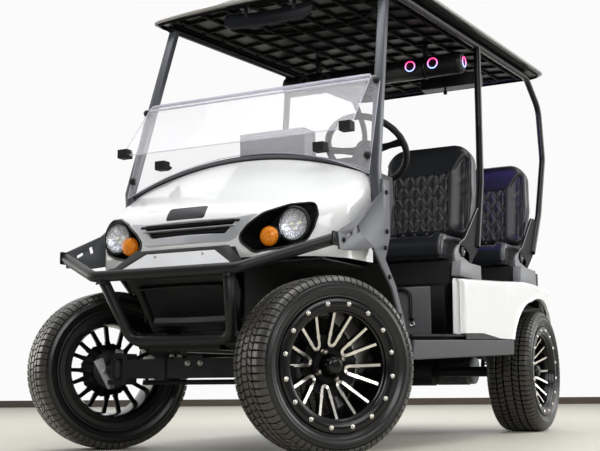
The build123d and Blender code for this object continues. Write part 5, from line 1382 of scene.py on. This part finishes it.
# a mid grey that stands off both the white body and the black blade; along the blade's spine it is a painted
# highlight
step_grey_and_edge_highlight = grained("step_enamel_and_edge_highlight", "8a8b8e", "7a7b7e", 0.42, 0.003, 0.0001)
for label, dx, dz, blade_x, blade_z, foot_x, foot_z, strut_x, nodes in (
        ("front", 0, 0, -272, 1002, -215, 822, -270, ["hip_restraints"]),
        ("rear", -855, 55, -1124, 1066, -1085, 885, -1203, [])):
    # the blade's tip, the strut's foot, and the strut's place beside the tip are each row's own
    low_edge, plate_z = body_top(-150 + dx) + 0.6, 730 + dz
    step = [(86 + dx, low_edge), (-186 + dx, low_edge), (-182 + dx, plate_z + 3), (70 + dx, plate_z + 3)]
    cheek = rounded([(x + dx, plate_z + z) for x, z in
                     ((62, 0), (-110, 0), (-122, 50), (-50, 78), (12, 78), (66, 46))],
                    [16, 8, 10, 24, 24, 30])
    blade = rounded([(26 + dx, plate_z + 40), (-60 + dx, plate_z + 20), (-138 + dx, plate_z + 8),
                     (foot_x - 15, foot_z - 16), (strut_x - 12, blade_z + 4), (blade_x + 24, blade_z),
                     (-64 + dx, plate_z + 112), (dx, plate_z + 88)], [20, 20, 8, 14, 12, 10, 60, 20])
    spine = rounded([(blade_x + 25, blade_z - 4), (-64 + dx, plate_z + 112), (2 + dx, plate_z + 86),
                     (28 + dx, plate_z + 44)], [0, 60, 24, 0], closed=False)
    parts = []
    for side in (1, -1):
        pin = (-24 + dx, side * 528.5, plate_z + 50)
        parts += [plate("step", step, 41, abeam(side, 517), step_grey_and_edge_highlight, ease=3),
                  plate("cheek", cheek, 9, abeam(side, 520), step_grey_and_edge_highlight),
                  plate("blade", blade, 11, abeam(side, 518), blade_black, ease=3),
                  # a grey rod along the blade's spine: a painted highlight on its edge
                  rod("blade_edge_painted_highlight", [(x, side * 529.4, z) for x, z in spine], 2.2, step_grey_and_edge_highlight, sides=3),
                  turned("boss", [(22, 0), (22, 4), (19, 7), (12, 9), (11, 6), (0.1, 6)], pin, Y_AXIS * side,
                         dark_knob, steps=40),
                  hex_bolt((pin[0], side * 534, pin[2]), Y_AXIS * side, 12, zinc)]
    fixed(f"{label}_hip_restraints", parts, "arm_black", *nodes)

# ---- Rear bumper and tail lights ----
# A plain folded steel bumper on two arms, and a red lens each side above it.
as_packed("rear_bumper", "rear_bumper_beam", 4, guard_coat, "bumper_black", segments=3)
# deep red cells, brighter at their middles
red_lens, tree, shader, place = bare_finish("red_acrylic_lens", "b01218", 0.12, Transmission_Weight=0.3,
                                            IOR=1.49)
feed(shader, {"Base Color": between(tree, cellular(tree, place, 140.0), "d8202a", "80080e")})
tails = []
for side in (1, -1):
    for half, tall, radius, thick, back, finish, ease in ((55, 23, 14, 5, -1410.2, rubber, 1),
                                                          (50, 19, 11, 9, -1415, red_lens, 3)):
        tails.append(plate("tail", wedge(half, -tall, half, tall, radius), thick,
                           ahead(back, side * 360, 620, way=-1),
                           finish, ease=ease))
fixed("tail_light_lenses", tails, "lamp_red", "tail_lights")

# ---- Seat cushions and backs ----
# Foam on plywood under stretched vinyl: bench cushions with a rolled bolster at each end, and pairs of
# backs with a plain headband over an insert quilted in tall diamonds, sewn down between firm side bolsters.
# seat vinyl: black, with a leather grain that spreads each highlight into a soft grey sheen
seat_vinyl = grained("black_seat_vinyl", "202227", "181a1e", 0.36, 0.0022, 0.00022, drift=0.2,
                     Specular_IOR_Level=0.5)
# a shade lighter than the vinyl, so that the stitches just show
thread = grained("black_bonded_thread", "2e2f33", "1c1d20", 0.55, 0.001, 0.0002)


def vertex_values(piece, kind):
    """An array of the places (co) or normals of a piece's vertices."""
    return np.array([getattr(vert, kind)[:] for vert in piece.data.vertices])


def stuffed(pad, voxel, pressure, most):
    """The pad remeshed evenly, blown up as foam fills a sewn cover, and smoothed; most caps the swell."""
    even = pad.modifiers.new("even", "REMESH")
    even.mode, even.voxel_size = "VOXEL", voxel * MM
    worked(pad)
    before = vertex_values(pad, "co")
    cloth = pad.modifiers.new("cover", "CLOTH")
    cloth.settings.use_pressure, cloth.settings.uniform_pressure_force = True, pressure
    cloth.settings.mass, cloth.settings.tension_stiffness, cloth.settings.bending_stiffness = 0.3, 12, 0.4
    cloth.settings.effector_weights.gravity = 0
    for step in range(1, 21):
        bpy.context.scene.frame_set(step)
    swollen = pad.evaluated_get(bpy.context.evaluated_depsgraph_get()).to_mesh()
    after = np.array([vert.co[:] for vert in swollen.vertices])
    pad.modifiers.clear()
    bpy.context.scene.frame_set(1)
    push = after - before
    reach = np.maximum(np.linalg.norm(push, axis=1, keepdims=True), 1e-9)
    push *= np.minimum(1, most * MM / reach)
    for vert, place in zip(pad.data.vertices, before + push):
        vert.co = place
    finer = pad.modifiers.new("finer", "SUBSURF")
    finer.levels = finer.render_levels = 1
    return worked(pad)


def eased_step(value, low, high):
    """0 below low, 1 above high, smooth between."""
    share = np.clip((value - low) / (high - low), 0, 1)
    return share * share * (3 - 2 * share)


def crease(value, at, width):
    """1 on a line where a value is at, falling away within a width of it."""
    return np.exp(-((value - at) / width) ** 2)


def sculpted(pad, push):
    """Moves every point of the pad along its normal, by a function of its place."""
    places = vertex_values(pad, "co") * 1000
    places += vertex_values(pad, "normal") * push(*places.T)[:, None]
    pad.data.vertices.foreach_set("co", (places * MM).ravel())
    pad.data.update()


def bench_seams(x, y, z):
    """Seams down the cushion's front corners and along its ends, with a rolled lobe outside and a welt."""
    side = np.abs(y)
    upper = eased_step(z, 752, 778)
    seam = crease(side, 482, 3.5) * upper * 4.5
    seam += crease(side, 424, 4.0) * eased_step(z, 826, 838) * (1 - eased_step(x, 70, 100)) * 5
    lobe = eased_step(side, 424, 452) * eased_step(z, 812, 836) * (1 - eased_step(x, 60, 112)) * 14
    rise = 8 * np.clip(1 - (y / 470) ** 2, 0, 1) * np.clip(1 - ((x + 40) / 170) ** 2, 0, 1) * upper
    return lobe + rise - seam - crease(z, 753, 3.5) * 3.0


section = rounded([(-238, 741), (122, 741), (123, 838), (-238, 842)], [14, 30, 46, 18], steps=6)
bench = plate("bench", section, 984, lambda a, b, c: (a, c - 492, b), seat_vinyl, ease=0)
eased(bench, 24, angle=50, segments=4)
stuffed(bench, 9, 4.0, 8)
sculpted(bench, bench_seams)
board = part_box("front_seat_cushion")[0].z + 0.0005
for vert in bench.data.vertices:
    # the foot of the cushion is flat on its board
    vert.co.z = max(vert.co.z, board)


def placed(source, name, move):
    """A copy of a mesh, moved in its vertices, and turned right side out where the move mirrors it."""
    mesh = source.data.copy()
    mesh.transform(move)
    if move.determinant() < 0:
        mesh.flip_normals()
    return shown(name, mesh, source.data.materials[0], 80)


front_bench = placed(bench, "front_bench_cushion", Matrix.Identity(4))
rear_bench = placed(bench, "rear_bench_cushion", Matrix.Translation((-0.855, 0, 0.055)))
bpy.data.objects.remove(bench)
fitted(front_bench, "front_cushion", "seat_leather", "front_seat_cushion")
fitted(rear_bench, "chassis", "seat_leather", "rear_seat_cushion")

INSERT_HALF, INSERT_SHIFT, HEADBAND = 129, -25, 318


def back_seams(across, up, out):
    """The insert sunk between its seams and quilted, the scoop in each bolster, and the headband's seam."""
    side = np.abs(across - INSERT_SHIFT)
    insert = 1 - eased_step(side, INSERT_HALF - 3, INSERT_HALF + 6)
    below = 1 - eased_step(up, HEADBAND - 5, HEADBAND + 6)
    # two families of diagonal seams, 58 mm apart across and 104 mm up
    families = ((across - INSERT_SHIFT) / 58 + up / 104, (across - INSERT_SHIFT) / 58 - up / 104)
    reach = [np.abs(family - np.round(family)) * 50.6 for family in families]
    seams = np.maximum(*(crease(distance, 0, 3.6) for distance in reach))
    puff = np.minimum(1, np.minimum(*reach) / 17) ** 0.55
    quilt = (8.0 * puff - 3.5 * seams) * insert * below * eased_step(up, 14, 40)
    edge = crease(side, INSERT_HALF, 4.0) * (1 - eased_step(up, HEADBAND, HEADBAND + 12)) * 7.0
    band = crease(up, HEADBAND, 3.6) * insert * 5.0
    # each bolster is hollowed out to its firm outer edge, under an arch that rises from the headband's end
    outer = np.where(across > INSERT_SHIFT, across, -across - 46)
    arch = 322 + 74 * eased_step(outer, 112, 178)
    scoop = eased_step(outer, 110, 168) * (1 - eased_step(outer, 186, 206)) * eased_step(up, 16, 80)
    scoop *= (1 - eased_step(up, arch - 16, arch + 6)) * 15.0
    return eased_step(out, -40, -14) * (quilt - 7.0 * insert * below - edge - band - scoop)


pad_line = rounded([(-206, 8), (206, 8), (226, 210), (212, 466), (-212, 466), (-226, 210)],
                   [40, 40, 160, 100, 100, 160], steps=9)
pad = plate("pad", pad_line, 92, lambda a, b, c: (a, b, c - 98), seat_vinyl, ease=0)
eased(pad, 26, angle=50, segments=4)
stuffed(pad, 8, 4.0, 7)
sculpted(pad, back_seams)


def along_seam(tree, given):
    """Places a grain of thread at every step of the seam, and turns it along it."""
    seam = add_node(tree, "GeometryNodeMeshToCurve", {0: given["Item"]})
    spots = add_node(tree, "GeometryNodeCurveToPoints",
                     {"Curve": seam.outputs[0], "Length": given["Spacing"]},
                     mode="LENGTH").outputs
    grain = add_node(tree, "GeometryNodeMeshUVSphere", {"Segments": 6, "Rings": 4, "Radius": 0.5})
    size = add_node(tree, "ShaderNodeCombineXYZ",
                    {"X": given["Thick"], "Y": given["Thick"], "Z": given["Long"]})
    return {"Points": spots["Points"], "Rotation": spots["Rotation"], "Instance": grain.outputs[0],
            "Scale": size.outputs[0]}


def stitched(line):
    """A row of stitches along a line of points, as one plain mesh."""
    mesh = bpy.data.meshes.new("stitches")
    mesh.from_pydata([Vector(point) * MM for point in line], [(n, n + 1) for n in range(len(line) - 1)], [])
    row = bpy.data.objects.new("stitches", mesh)
    bpy.context.scene.collection.objects.link(row)
    copied(row, "stitches", thread, {"Spacing": 6.0 * MM, "Long": 3.6 * MM, "Thick": 0.9 * MM}, along_seam)
    row.data.shade_smooth()
    return row


pad_skin = skin_of(pad)


def on_pad(across, up):
    """The point of the pad's front face there, a hair proud."""
    return pad_skin.ray_cast(Vector((across, up, 200)) * MM, -Z_AXIS)[0] * 1000 + Vector((0, 0, 0.3))


seam_lines = [[(INSERT_SHIFT + side * (INSERT_HALF + 7), up) for up in range(24, HEADBAND, 8)]
              for side in (1, -1)]
seam_lines.append([(INSERT_SHIFT + across, HEADBAND + 8)
                   for across in range(-INSERT_HALF, INSERT_HALF + 1, 8)])
stitching = merged("stitching", [stitched([on_pad(*spot) for spot in line]) for line in seam_lines])


def islands_of(form):
    """The separate bodies of a form, each a set of its vertices."""
    islands, waiting = [], set(form.verts)
    while waiting:
        island, front = set(), [waiting.pop()]
        while front:
            vert = front.pop()
            island.add(vert)
            fresh = {edge.other_vert(vert) for edge in vert.link_edges} & waiting
            waiting -= fresh
            front += fresh
        islands.append(island)
    return islands


# the bent steel stays are what is left of the CAD backs once the wide bodies, their pads, are taken out
form = cad_form("seat_backs")
wide = [island for island in islands_of(form)
        if max(vert.co.y for vert in island) - min(vert.co.y for vert in island) > 0.2]
bmesh.ops.delete(form, geom=[vert for island in wide for vert in island], context="VERTS")
flattened(form, 0.6)
stays = eased(shown("seat_back_stays", written(form, bpy.data.meshes.new("seat_back_stays")), powder_coat),
              2.5)
fitted(stays, "chassis", "seat_leather", "seat_backs")
LEAN_SIN, LEAN_COS = 0.1392, 0.9903          # each back leans 8 degrees
for row, label in ((0, "front"), (1, "rear")):
    for side, hand in ((1, "left"), (-1, "right")):
        # the left and right pads mirror each other, because the insert sits nearer the cart's middle
        stand = Matrix(((0, -LEAN_SIN, LEAN_COS, (-262 - row * 855) * MM), (side, 0, 0, side * 0.268),
                        (0, LEAN_COS, LEAN_SIN, (868 + row * 55) * MM), (0, 0, 0, 1)))
        back = fitted(placed(pad, f"{label}_{hand}_seat_back", stand), "chassis", "seat_leather")
        fitted(placed(stitching, f"{label}_{hand}_seat_back_stitching", stand), "chassis", "seat_leather")
bpy.data.objects.remove(pad)
bpy.data.objects.remove(stitching)

# ---- Tyres ----
# Low-profile street tyres: five tread ribs cut by zigzag grooves and sipes, and shoulder lugs that wrap on to
# a smooth sidewall with fine moulded rings. One tyre is made about its own axle and set at all four corners.
# tread rubber: warm and far paler than real rubber, as a painted reflection of the bright room, so much paler
# than the grooves that each block stands out
tread_painted_sheen = grained("tyre_tread_painted_reflection", "3d3b36", "2a2925", 0.34, 0.0015, 0.0002, drift=0.05,
                       Specular_IOR_Level=0.55)
# a deeper black, smooth enough to draw its rings as thin bright lines
wall_rubber = grained("tyre_sidewall_rubber", "0e0e0f", "09090a", 0.3, 0.0012, 0.0001, drift=0.08,
                      Specular_IOR_Level=0.45)
# painted shade: the groove floors are near black, standing for the shade deep in each groove
groove_painted_shade = grained("tyre_groove_painted_shade", "050505", "030303", 0.8, 0.002, 0.0002, Specular_IOR_Level=0.1)
TYRE_RADIUS = 288
carcass = [(178.6, 90), (184, 93.5), (200, 94.5), (211, 92.5), (214, 93.5), (216, 96), (218.5, 96.5),
           (221, 95.8),
           (226, 100), (232, 103.6), (238, 105.8), (243, 106.8), (244, 107.7), (245.5, 107.7), (246.5, 106.9),
           (251, 106.2), (255, 104.6), (256, 105), (257.5, 104.6), (258.5, 103.2), (263, 100.6), (268, 97),
           (273, 92.5), (277.4, 86), (279.5, 80), (280, 60), (280, 0)]
inside = [(178.6, -74), (212, -77), (250, -90), (268, -82), (268, 82), (250, 90), (212, 77), (178.6, 74),
          carcass[0]]


def on_axle(name, profile, finish, **shape):
    """A form of revolution about the wheel's own axle."""
    return turned(name, profile, (0, 0, 0), Z_AXIS, finish, **shape)


casing = on_axle("casing", carcass + [(r, -h) for r, h in carcass[-2::-1]] + inside, wall_rubber, steps=120,
                 smooth=40,
                 caps=False)
casing.data.materials.append(groove_painted_shade)
# the casing's faces between the tread blocks take the painted shade
for face in casing.data.polygons:
    if hypot(face.center.x, face.center.y) > 0.2775 and abs(face.center.z) < 0.09:
        face.material_index = 1
PITCHES = 76
pitch = 2 * pi * TYRE_RADIUS / PITCHES


def on_tread(around, across, radius):
    """A point over the tread, so far round it and across it, at a radius."""
    return (radius * cos(around / TYRE_RADIUS), radius * sin(around / TYRE_RADIUS), across)


def tread_block(outline, top, foot=279.0):
    """A block of tread: its outline in (around, across) stands from the casing to its top radius."""
    rows = []
    middle = Vector([sum(point[k] for point in outline) / len(outline) for k in (0, 1)])
    for radius, shrink in ((foot, 1.0), (top - 1.2, 0.98), (top, 0.88)):
        row = []
        for point in outline:
            s, w = middle.lerp(Vector(point), shrink)
            row.append(on_tread(s, w, radius - 3.4 * max(0.0, (abs(w) - 56) / 30) ** 2))
        rows.append(row)
    return bar_of("block", rows, tread_painted_sheen, smooth=20)


blocks = []
for sign, shift in ((1, 0.0), (-1, 0.5)):
    # a shoulder block, its lug that wraps over on to the sidewall, and an angled block inside them
    a, b = shift * pitch + 2.2, (shift + 1) * pitch - 2.2
    shoulder = [(a, 59), (b, 57), (b + 2.5, 72), (b + 2, 86), (a + 2, 86), (a + 2.5, 73)]
    inner = [(a - 5, 24), (b - 5, 26), (b + 2, 38), (b + 2, 51), (a + 2, 49), (a + 1, 37)]
    lug = [[on_tread(s, sign * w, radius) for s in (a + 2, b + 2)]
           + [on_tread(s, sign * (w - 5), radius - 6) for s in (b + 2, a + 2)]
           for w, radius in ((85, 284.2), (92, 281), (99, 274.5), (104, 266))]
    blocks += [tread_block([(s, sign * w) for s, w in shoulder], 287.6),
               bar_of("lug", lug, tread_painted_sheen, smooth=50),
               tread_block([(s, sign * w) for s, w in inner], 288)]
a, b = 1.5, pitch - 1.5
blocks.append(tread_block([(a, -15), (b, -18), (b + 4, 0), (b, 16), (a, 18), (a + 4, 0)], 288))


def round_axle(name, item, count, finish):
    """Copies of an item all round the wheel's own axle."""
    return around(name, item, count, (0, 0, 0), Z_AXIS, finish)


tyre_form = merged("tyre_form", [casing, round_axle("tread", merged("pitch", blocks), PITCHES, tread_painted_sheen)])

# ---- Rims ----
# Deep-dished cast aluminium, black with sixteen bright spoke faces. The spokes pair up in eight forks that
# plunge from the lip to the hub, and a bolted ring with sixteen studs stands round the bead.
# wheel paint: gloss black, which mirrors the room along the lip
rim_gloss = grained("gloss_black_wheel_paint", "08090a", "050506", 0.2, 0.003, 0.00002,
                    Specular_IOR_Level=0.35)
# the same black, darker and duller as painted shade, so that the dish behind the spokes stays dark
well_painted_shade = grained("wheel_well_painted_shade", "060607", "040404", 0.5, 0.003, 0.00004,
                     Specular_IOR_Level=0.12)
# bright and slightly warm, with a fine turned grain
machined = grained("machined_aluminium", "e8e4dc", "cbc8c0", 0.26, 0.0016, 0.00006, metallic=1.0, drift=0.03)
# warm and tarnished, duller than the spoke faces
nut_steel = grained("dull_wheel_nut_steel", "a8a39a", "7f7b74", 0.34, 0.002, 0.0001, metallic=1.0, drift=0.01)
LIP = [(178, 91.5), (186, 91.7), (212, 91.8), (212.2, 96), (211, 100), (208.5, 101), (184, 101), (182.4, 100),
       (181, 97), (179, 95.6), (175.5, 95.2), (174.4, 93.6), (174, 88), (172.4, 85.4), (169, 84.6),
       (167.6, 82.6),
       (167, 74)]
BARREL = [(164.5, 66), (161, 50), (159, 20), (160.5, -60), (164, -74), (168, -88), (172, -97.5), (189, -98),
          (191, -96), (191, -92), (178, -91.5), (177.6, -76), (170, -66), (169, -30), (169, 40), (172, 66),
          (177.6, 76), (178, 91.5)]
WEB = [(17, 7), (60, 7), (66, 9), (80, 14), (92, 20), (94.5, 23), (93, 26.5), (88, 26.5), (76, 20.5),
       (66, 17),
       (62, 17), (60, 20), (58, 27), (55, 29.4), (38, 29.8), (35, 28), (34, 25), (0.1, 25)]
CAP = [(30, 26), (30, 34), (28.6, 36), (28.6, 62), (27, 70), (22, 74.4), (12, 75.8), (0.1, 76)]
rim_parts = [on_axle("barrel", LIP + BARREL, rim_gloss, steps=120, smooth=28, caps=False),
             on_axle("centre_web", WEB, well_painted_shade, steps=72), on_axle("cap", CAP, rim_gloss, smooth=50)]
FORKS = 8


def face_height(radius):
    """The spoke faces' height along the axle at a radius: they plunge from the lip to the hub."""
    return float(np.interp(radius, [40, 62, 72, 100, 150, 166], [20, 21.5, 25, 39.5, 65, 74]))


# one leg of a fork, from its outer end to the hub: (radius, half the fork's spread, the leg's width)
leg = [(167.5, 31.8, 9.0), (150, 27.8, 8.8), (125, 22.4, 8.8), (106, 18.2, 9.2), (101, 17.2, 11.5),
       (96, 16.2, 12.0),
       (92, 15.4, 9.6), (82, 13.4, 9.2), (74, 11.4, 9.4), (69, 8.6, 9.8), (66, 4.6, 10.2), (65, 0, 10.4)]
fork_line = [(Vector((r, -t)), w) for r, t, w in leg] + [(Vector((r, t)), w) for r, t, w in leg[-2::-1]]
for name, width, top, depth, finish, flare in (("forks", 1.3, -1.6, 20, well_painted_shade, 1.25),
                                               ("fork_faces", 1.0, -0.1, 1.7, machined, 1.05)):
    # a ribbon of two spokes: from one outer end, round the hub end, to the other outer end
    rows = []
    for at, (point, wide) in enumerate(fork_line):
        beyond, behind = fork_line[min(at + 1, len(fork_line) - 1)][0], fork_line[max(at - 1, 0)][0]
        run = (beyond - behind).normalized()
        across = Vector((-run.y, run.x)) * (wide * width / 2)
        height = face_height(point.x) + top
        rows.append([(*(point + side * across), height) for side in (-1, 1)]
                    + [(*(point + side * flare * across), height - depth) for side in (1, -1)])
    rim_parts.append(round_axle(name, bar_of("fork", rows, finish, smooth=30), FORKS, finish))
# a black block joins each fork to the next, where their shoulders meet
half_cos, half_sin = cos(pi / FORKS), sin(pi / FORKS)
block = plate("block", rounded([(64, -8.5), (95, -17), (101, 0), (95, 17), (64, 8.5)], 3), 16,
              lambda a, b,
              c: (a * half_cos - b * half_sin, a * half_sin + b * half_cos, face_height(a) - 21 + c),
              well_painted_shade)
stud = turned("stud", [(7.6, 100.6), (7.6, 102), (5.8, 102.8), (5.6, 105), (3.8, 106.4), (0.1, 106.7)],
              (196, 0, 0),
              Z_AXIS, machined, steps=14, smooth=40)
nut = turned("nut", [(10.5, 27), (10.5, 33), (9, 35), (8.8, 44), (6, 48), (0.1, 48.6)], (47, 0, 0), Z_AXIS,
             nut_steel,
             steps=6, smooth=25)
nut.data.transform(Matrix.Rotation(radians(36), 4, "Z"))
rim_parts += [round_axle("blocks", block, FORKS, well_painted_shade), round_axle("studs", stud, 16, machined),
              round_axle("nuts", nut, 4, nut_steel),
              turned("valve", [(4, 74), (4, 84), (3, 88), (3, 96), (0.1, 97)],
                     (163 * cos(0.2), 163 * sin(0.2), 0),
                     Z_AXIS, rubber, steps=12)]
rim_form = merged("rim_form", rim_parts)
rim_form.data.transform(Matrix.Rotation(radians(-10), 4, "Z"))

LOCK, REACH = radians(34.3), 106             # the steering's lock, and the wheel's offset from its kingpin
KINGPIN = (1120, 391)


def steered(side, turn):
    """The directions along and out of a wheel on that side, turned to the cart's right."""
    return Vector((cos(turn), -sin(turn), 0)), Vector((side * sin(turn), side * cos(turn), 0))


front_x, front_y = sin(LOCK) * REACH, KINGPIN[1] + cos(LOCK) * REACH
for corner, side, x, y, turn in (
        ("left_front", 1, KINGPIN[0] + front_x, front_y, LOCK),
        ("right_front", -1, KINGPIN[0] - front_x, front_y, LOCK),
        ("left_rear", 1, -915, 518, 0.0), ("right_rear", -1, -915, 518, 0.0)):
    along, out = steered(side, turn)
    stand = Matrix((along, out.cross(along), out)).transposed().to_4x4()
    stand.translation = Vector((x, side * y, TYRE_RADIUS)) * MM
    for form, part, slot in ((tyre_form, "tyre", "tyre_rubber"), (rim_form, "rim", "rim_black")):
        mesh = form.data.copy()
        mesh.transform(stand)
        piece = shown(f"{corner}_{part}_detailed", mesh, form.data.materials[0], 34)
        fitted(piece, f"{corner}_wheel", slot, f"{corner}_{part}")
bpy.data.objects.remove(tyre_form)
bpy.data.objects.remove(rim_form)

# ---- Knuckles and tie rod ----
# Cast steering knuckles painted black turn on their kingpins, joined by a round steel tie rod.
# Each carries a bare aluminium bracket, whose two ribs meet in a V at the lower kingpin bolt.
# blasted alloy: a pale matt grey, much the brightest thing behind the wheel
knuckle_alloy = grained("shot_blasted_knuckle_alloy", "d2d4d6", "97999c", 0.38, 0.003, 0.0006, metallic=0.25,
                        drift=0.02)
RIBS = ([(74, 30), (40, 44), (0, -66), (18, -72)], [(-40, 66), (-10, 76), (14, -64), (-4, -70)],
        [(50, 2), (-16, 14), (-14, -4), (40, -22)])
for side, label in SIDES:
    along, out = steered(side, LOCK)
    pin = Vector((KINGPIN[0], side * KINGPIN[1], TYRE_RADIUS))
    parts = [softened(f"{label}_knuckle", "knuckle", 1.6, cast_iron)]
    for line in RIBS:
        # the brackets mirror each other, so that each leads towards its own wheel's front
        parts.append(plate("rib", rounded([(-side * a, b) for a, b in line], 4), 12,
                           lambda a, b, c: pin + along * a + Vector((0, 0, b)) + out * (57 + c),
                           knuckle_alloy))
    parts.append(turned("bolt", [(9, 0), (9, 9), (7, 12), (0.1, 12)],
                        pin + out * 52 - along * (side * 6) - Vector((0, 0, 60)), -out, zinc, steps=6,
                        smooth=25))
    fitted(merged(f"{label}_knuckle_and_bracket", parts), f"{label}_knuckle", "axle_cast", f"{label}_knuckle")
fitted(softened("tie_rod", "tie_rod_bar", 0.8, cast_iron), "tie_rod", "axle_steel", "tie_rod")

# ---- Studio ----
# A white room: a pale resin floor, a plain white wall with a low brown-grey skirting, and soft boxes over and
# round the cart. A violet strip under the roof tints the rear seat.
# The camera stands low ahead of the left side.
# wall paint: seen, it is an even white, whatever light falls on it; as a lit surface it is plain matt paint
wall_white, tree, shader, place = bare_finish("matt_white_wall_paint", "f4f4f3", 0.9)
glow = add_node(tree, "ShaderNodeEmission", {"Color": linear("fbfbfb"), "Strength": 1.0})


def seen_by(tree, *rays):
    """1 for those kinds of ray, and 0 for all others."""
    kinds = add_node(tree, "ShaderNodeLightPath").outputs
    share = kinds[f"Is {rays[0]} Ray"]
    for ray in rays[1:]:
        share = add_node(tree, "ShaderNodeMath", {0: share, 1: kinds[f"Is {ray} Ray"]},
                         operation="MAXIMUM").outputs[0]
    return share


def one_sided(tree, front):
    """Shows a sheet from its front only, so that a camera behind it sees through."""
    through = add_node(tree, "ShaderNodeBsdfTransparent")
    back = add_node(tree, "ShaderNodeNewGeometry").outputs["Backfacing"]
    pick = add_node(tree, "ShaderNodeMixShader", {0: back, 1: front, 2: through.outputs[0]})
    output = next(node for node in tree.nodes if node.type == "OUTPUT_MATERIAL")
    tree.links.new(pick.outputs[0], output.inputs["Surface"])


blend = add_node(tree, "ShaderNodeMixShader", {0: seen_by(tree, "Camera", "Glossy", "Transmission"),
                                               1: shader.outputs[0], 2: glow.outputs[0]})
one_sided(tree, blend.outputs[0])
# a warm pale grey, with a soft sheen under the wheels
floor_resin = grained("pale_resin_floor", "cfccc0", "c5c2b5", 0.5, 0.02, 0.0001, drift=0.8)
# a flat brown-grey line along the wall's foot
skirting_grey = grained("grey_skirting", "6d635b", "5c534c", 0.6, 0.01, 0.0001)
shader = next(node for node in skirting_grey.node_tree.nodes if node.type == "BSDF_PRINCIPLED")
one_sided(skirting_grey.node_tree, shader.outputs[0])
EYE = Vector((4.3519, 2.0691, 0.2272))       # the camera's place, in metres like all of the studio
forward = Vector((-0.87475, -0.46253, 0)).normalized()
sideways = Vector((-forward.y, forward.x, 0))
far = Vector((EYE.x, EYE.y, 0)) + forward * 12.4


def upright(foot, tall):
    """The corners of a wide sheet that stands across the view."""
    return [foot + sideways * along + Z_AXIS * up for along,
            up in ((14, 0), (-14, 0), (-14, tall), (14, tall))]


for name, corners, finish in (
        ("studio_floor", [Vector((x, y, 0)) for x, y in ((-30, -30), (30, -30), (30, 30), (-30, 30))],
         floor_resin),
        ("studio_wall", upright(far, 9), wall_white),
        ("studio_skirting", upright(far - forward * 0.02, 0.075), skirting_grey)):
    mesh = bpy.data.meshes.new(name)
    mesh.from_pydata(corners, [], [tuple(range(len(corners)))])
    shown(name, mesh, finish)

world = bpy.data.worlds.new("studio")
bpy.context.scene.world = world
world.use_nodes = True
tree = world.node_tree
tree.nodes.clear()


def maths(operation, first, second):
    """A sum of two values in the world's tree."""
    return add_node(tree, "ShaderNodeMath", {0: first, 1: second}, operation=operation).outputs[0]


# the room is white all round but open and unlit behind the camera, so faces turned that way mirror the dark
view = add_node(tree, "ShaderNodeTexCoord").outputs["Generated"]
facing = add_node(tree, "ShaderNodeVectorMath", {0: view, 1: (0.87, 0.46, -0.15)}, operation="DOT_PRODUCT")
room = ranged(tree, facing.outputs["Value"], 1.0, 0.14, From_Min=-0.15, From_Max=0.5)
lit = maths("MULTIPLY", room, ranged(tree, seen_by(tree, "Glossy"), 0.5, 0.97))
backdrop = maths("MULTIPLY", seen_by(tree, "Camera", "Transmission"), 0.97)
sky = add_node(tree, "ShaderNodeBackground",
               {"Color": (1, 1, 1, 1), "Strength": maths("MAXIMUM", lit, backdrop)})
add_node(tree, "ShaderNodeOutputWorld", {"Surface": sky.outputs[0]})


def stood(thing, name):
    """An object for a lamp or a camera, in the scene."""
    piece = bpy.data.objects.new(name, thing)
    bpy.context.scene.collection.objects.link(piece)
    return piece


WHITE, WARM, VIOLET = (1, 1, 1), (1, 0.96, 0.86), (0.22, 0.12, 1.0)
for name, place, aim, size, watts, tint in (
        ("ceiling_box", (0.6, 0.4, 5.2), (0, 0, 0.6), (6.0, 4.0), 280, WHITE),
        ("front_box", (6.0, 3.5, 3.2), (0.4, 0, 0.8), (3.0, 3.0), 170, WHITE),
        ("left_box", (-3.6, 4.8, 2.6), (-0.2, 0, 0.7), (4.0, 2.6), 140, WHITE),
        ("side_box", (2.2, 6.2, 2.4), (0.9, 0, 0.8), (2.0, 1.6), 55, WHITE),
        ("right_box", (1.2, -6.0, 1.5), (0.8, 0, 0.5), (5.0, 2.0), 60, WARM),
        ("tail_box", (-5.0, -2.5, 3.6), (0, 0, 0.9), (3.0, 3.0), 80, WHITE),
        ("violet_strip", (-0.66, 0.25, 1.68), (-1.15, 0.3, 1.25), (0.5, 0.04), 0.95, VIOLET)):
    light = bpy.data.lights.new(name, "AREA")
    light.shape, light.size, light.size_y, light.energy, light.color = "RECTANGLE", *size, watts, tint
    lamp = stood(light, name)
    lamp.location = place
    lamp.rotation_euler = (Vector(aim) - Vector(place)).to_track_quat("-Z", "Y").to_euler()

lens = bpy.data.cameras.new("studio_camera")
lens.lens, lens.sensor_width, lens.clip_end = 65.57, 36.0, 100.0
camera = stood(lens, "studio_camera")
right, up, back = (Vector(axis) for axis in
                   ((-0.46827, 0.88356, -0.00651), (0.12466, 0.07336, 0.98948), (0.87475, 0.46253, -0.14450)))
camera.matrix_world = Matrix.Translation(EYE) @ Matrix((right, up, back)).transposed().to_4x4()
bpy.context.scene.camera = camera
bpy.context.scene.view_settings.view_transform = "Standard"
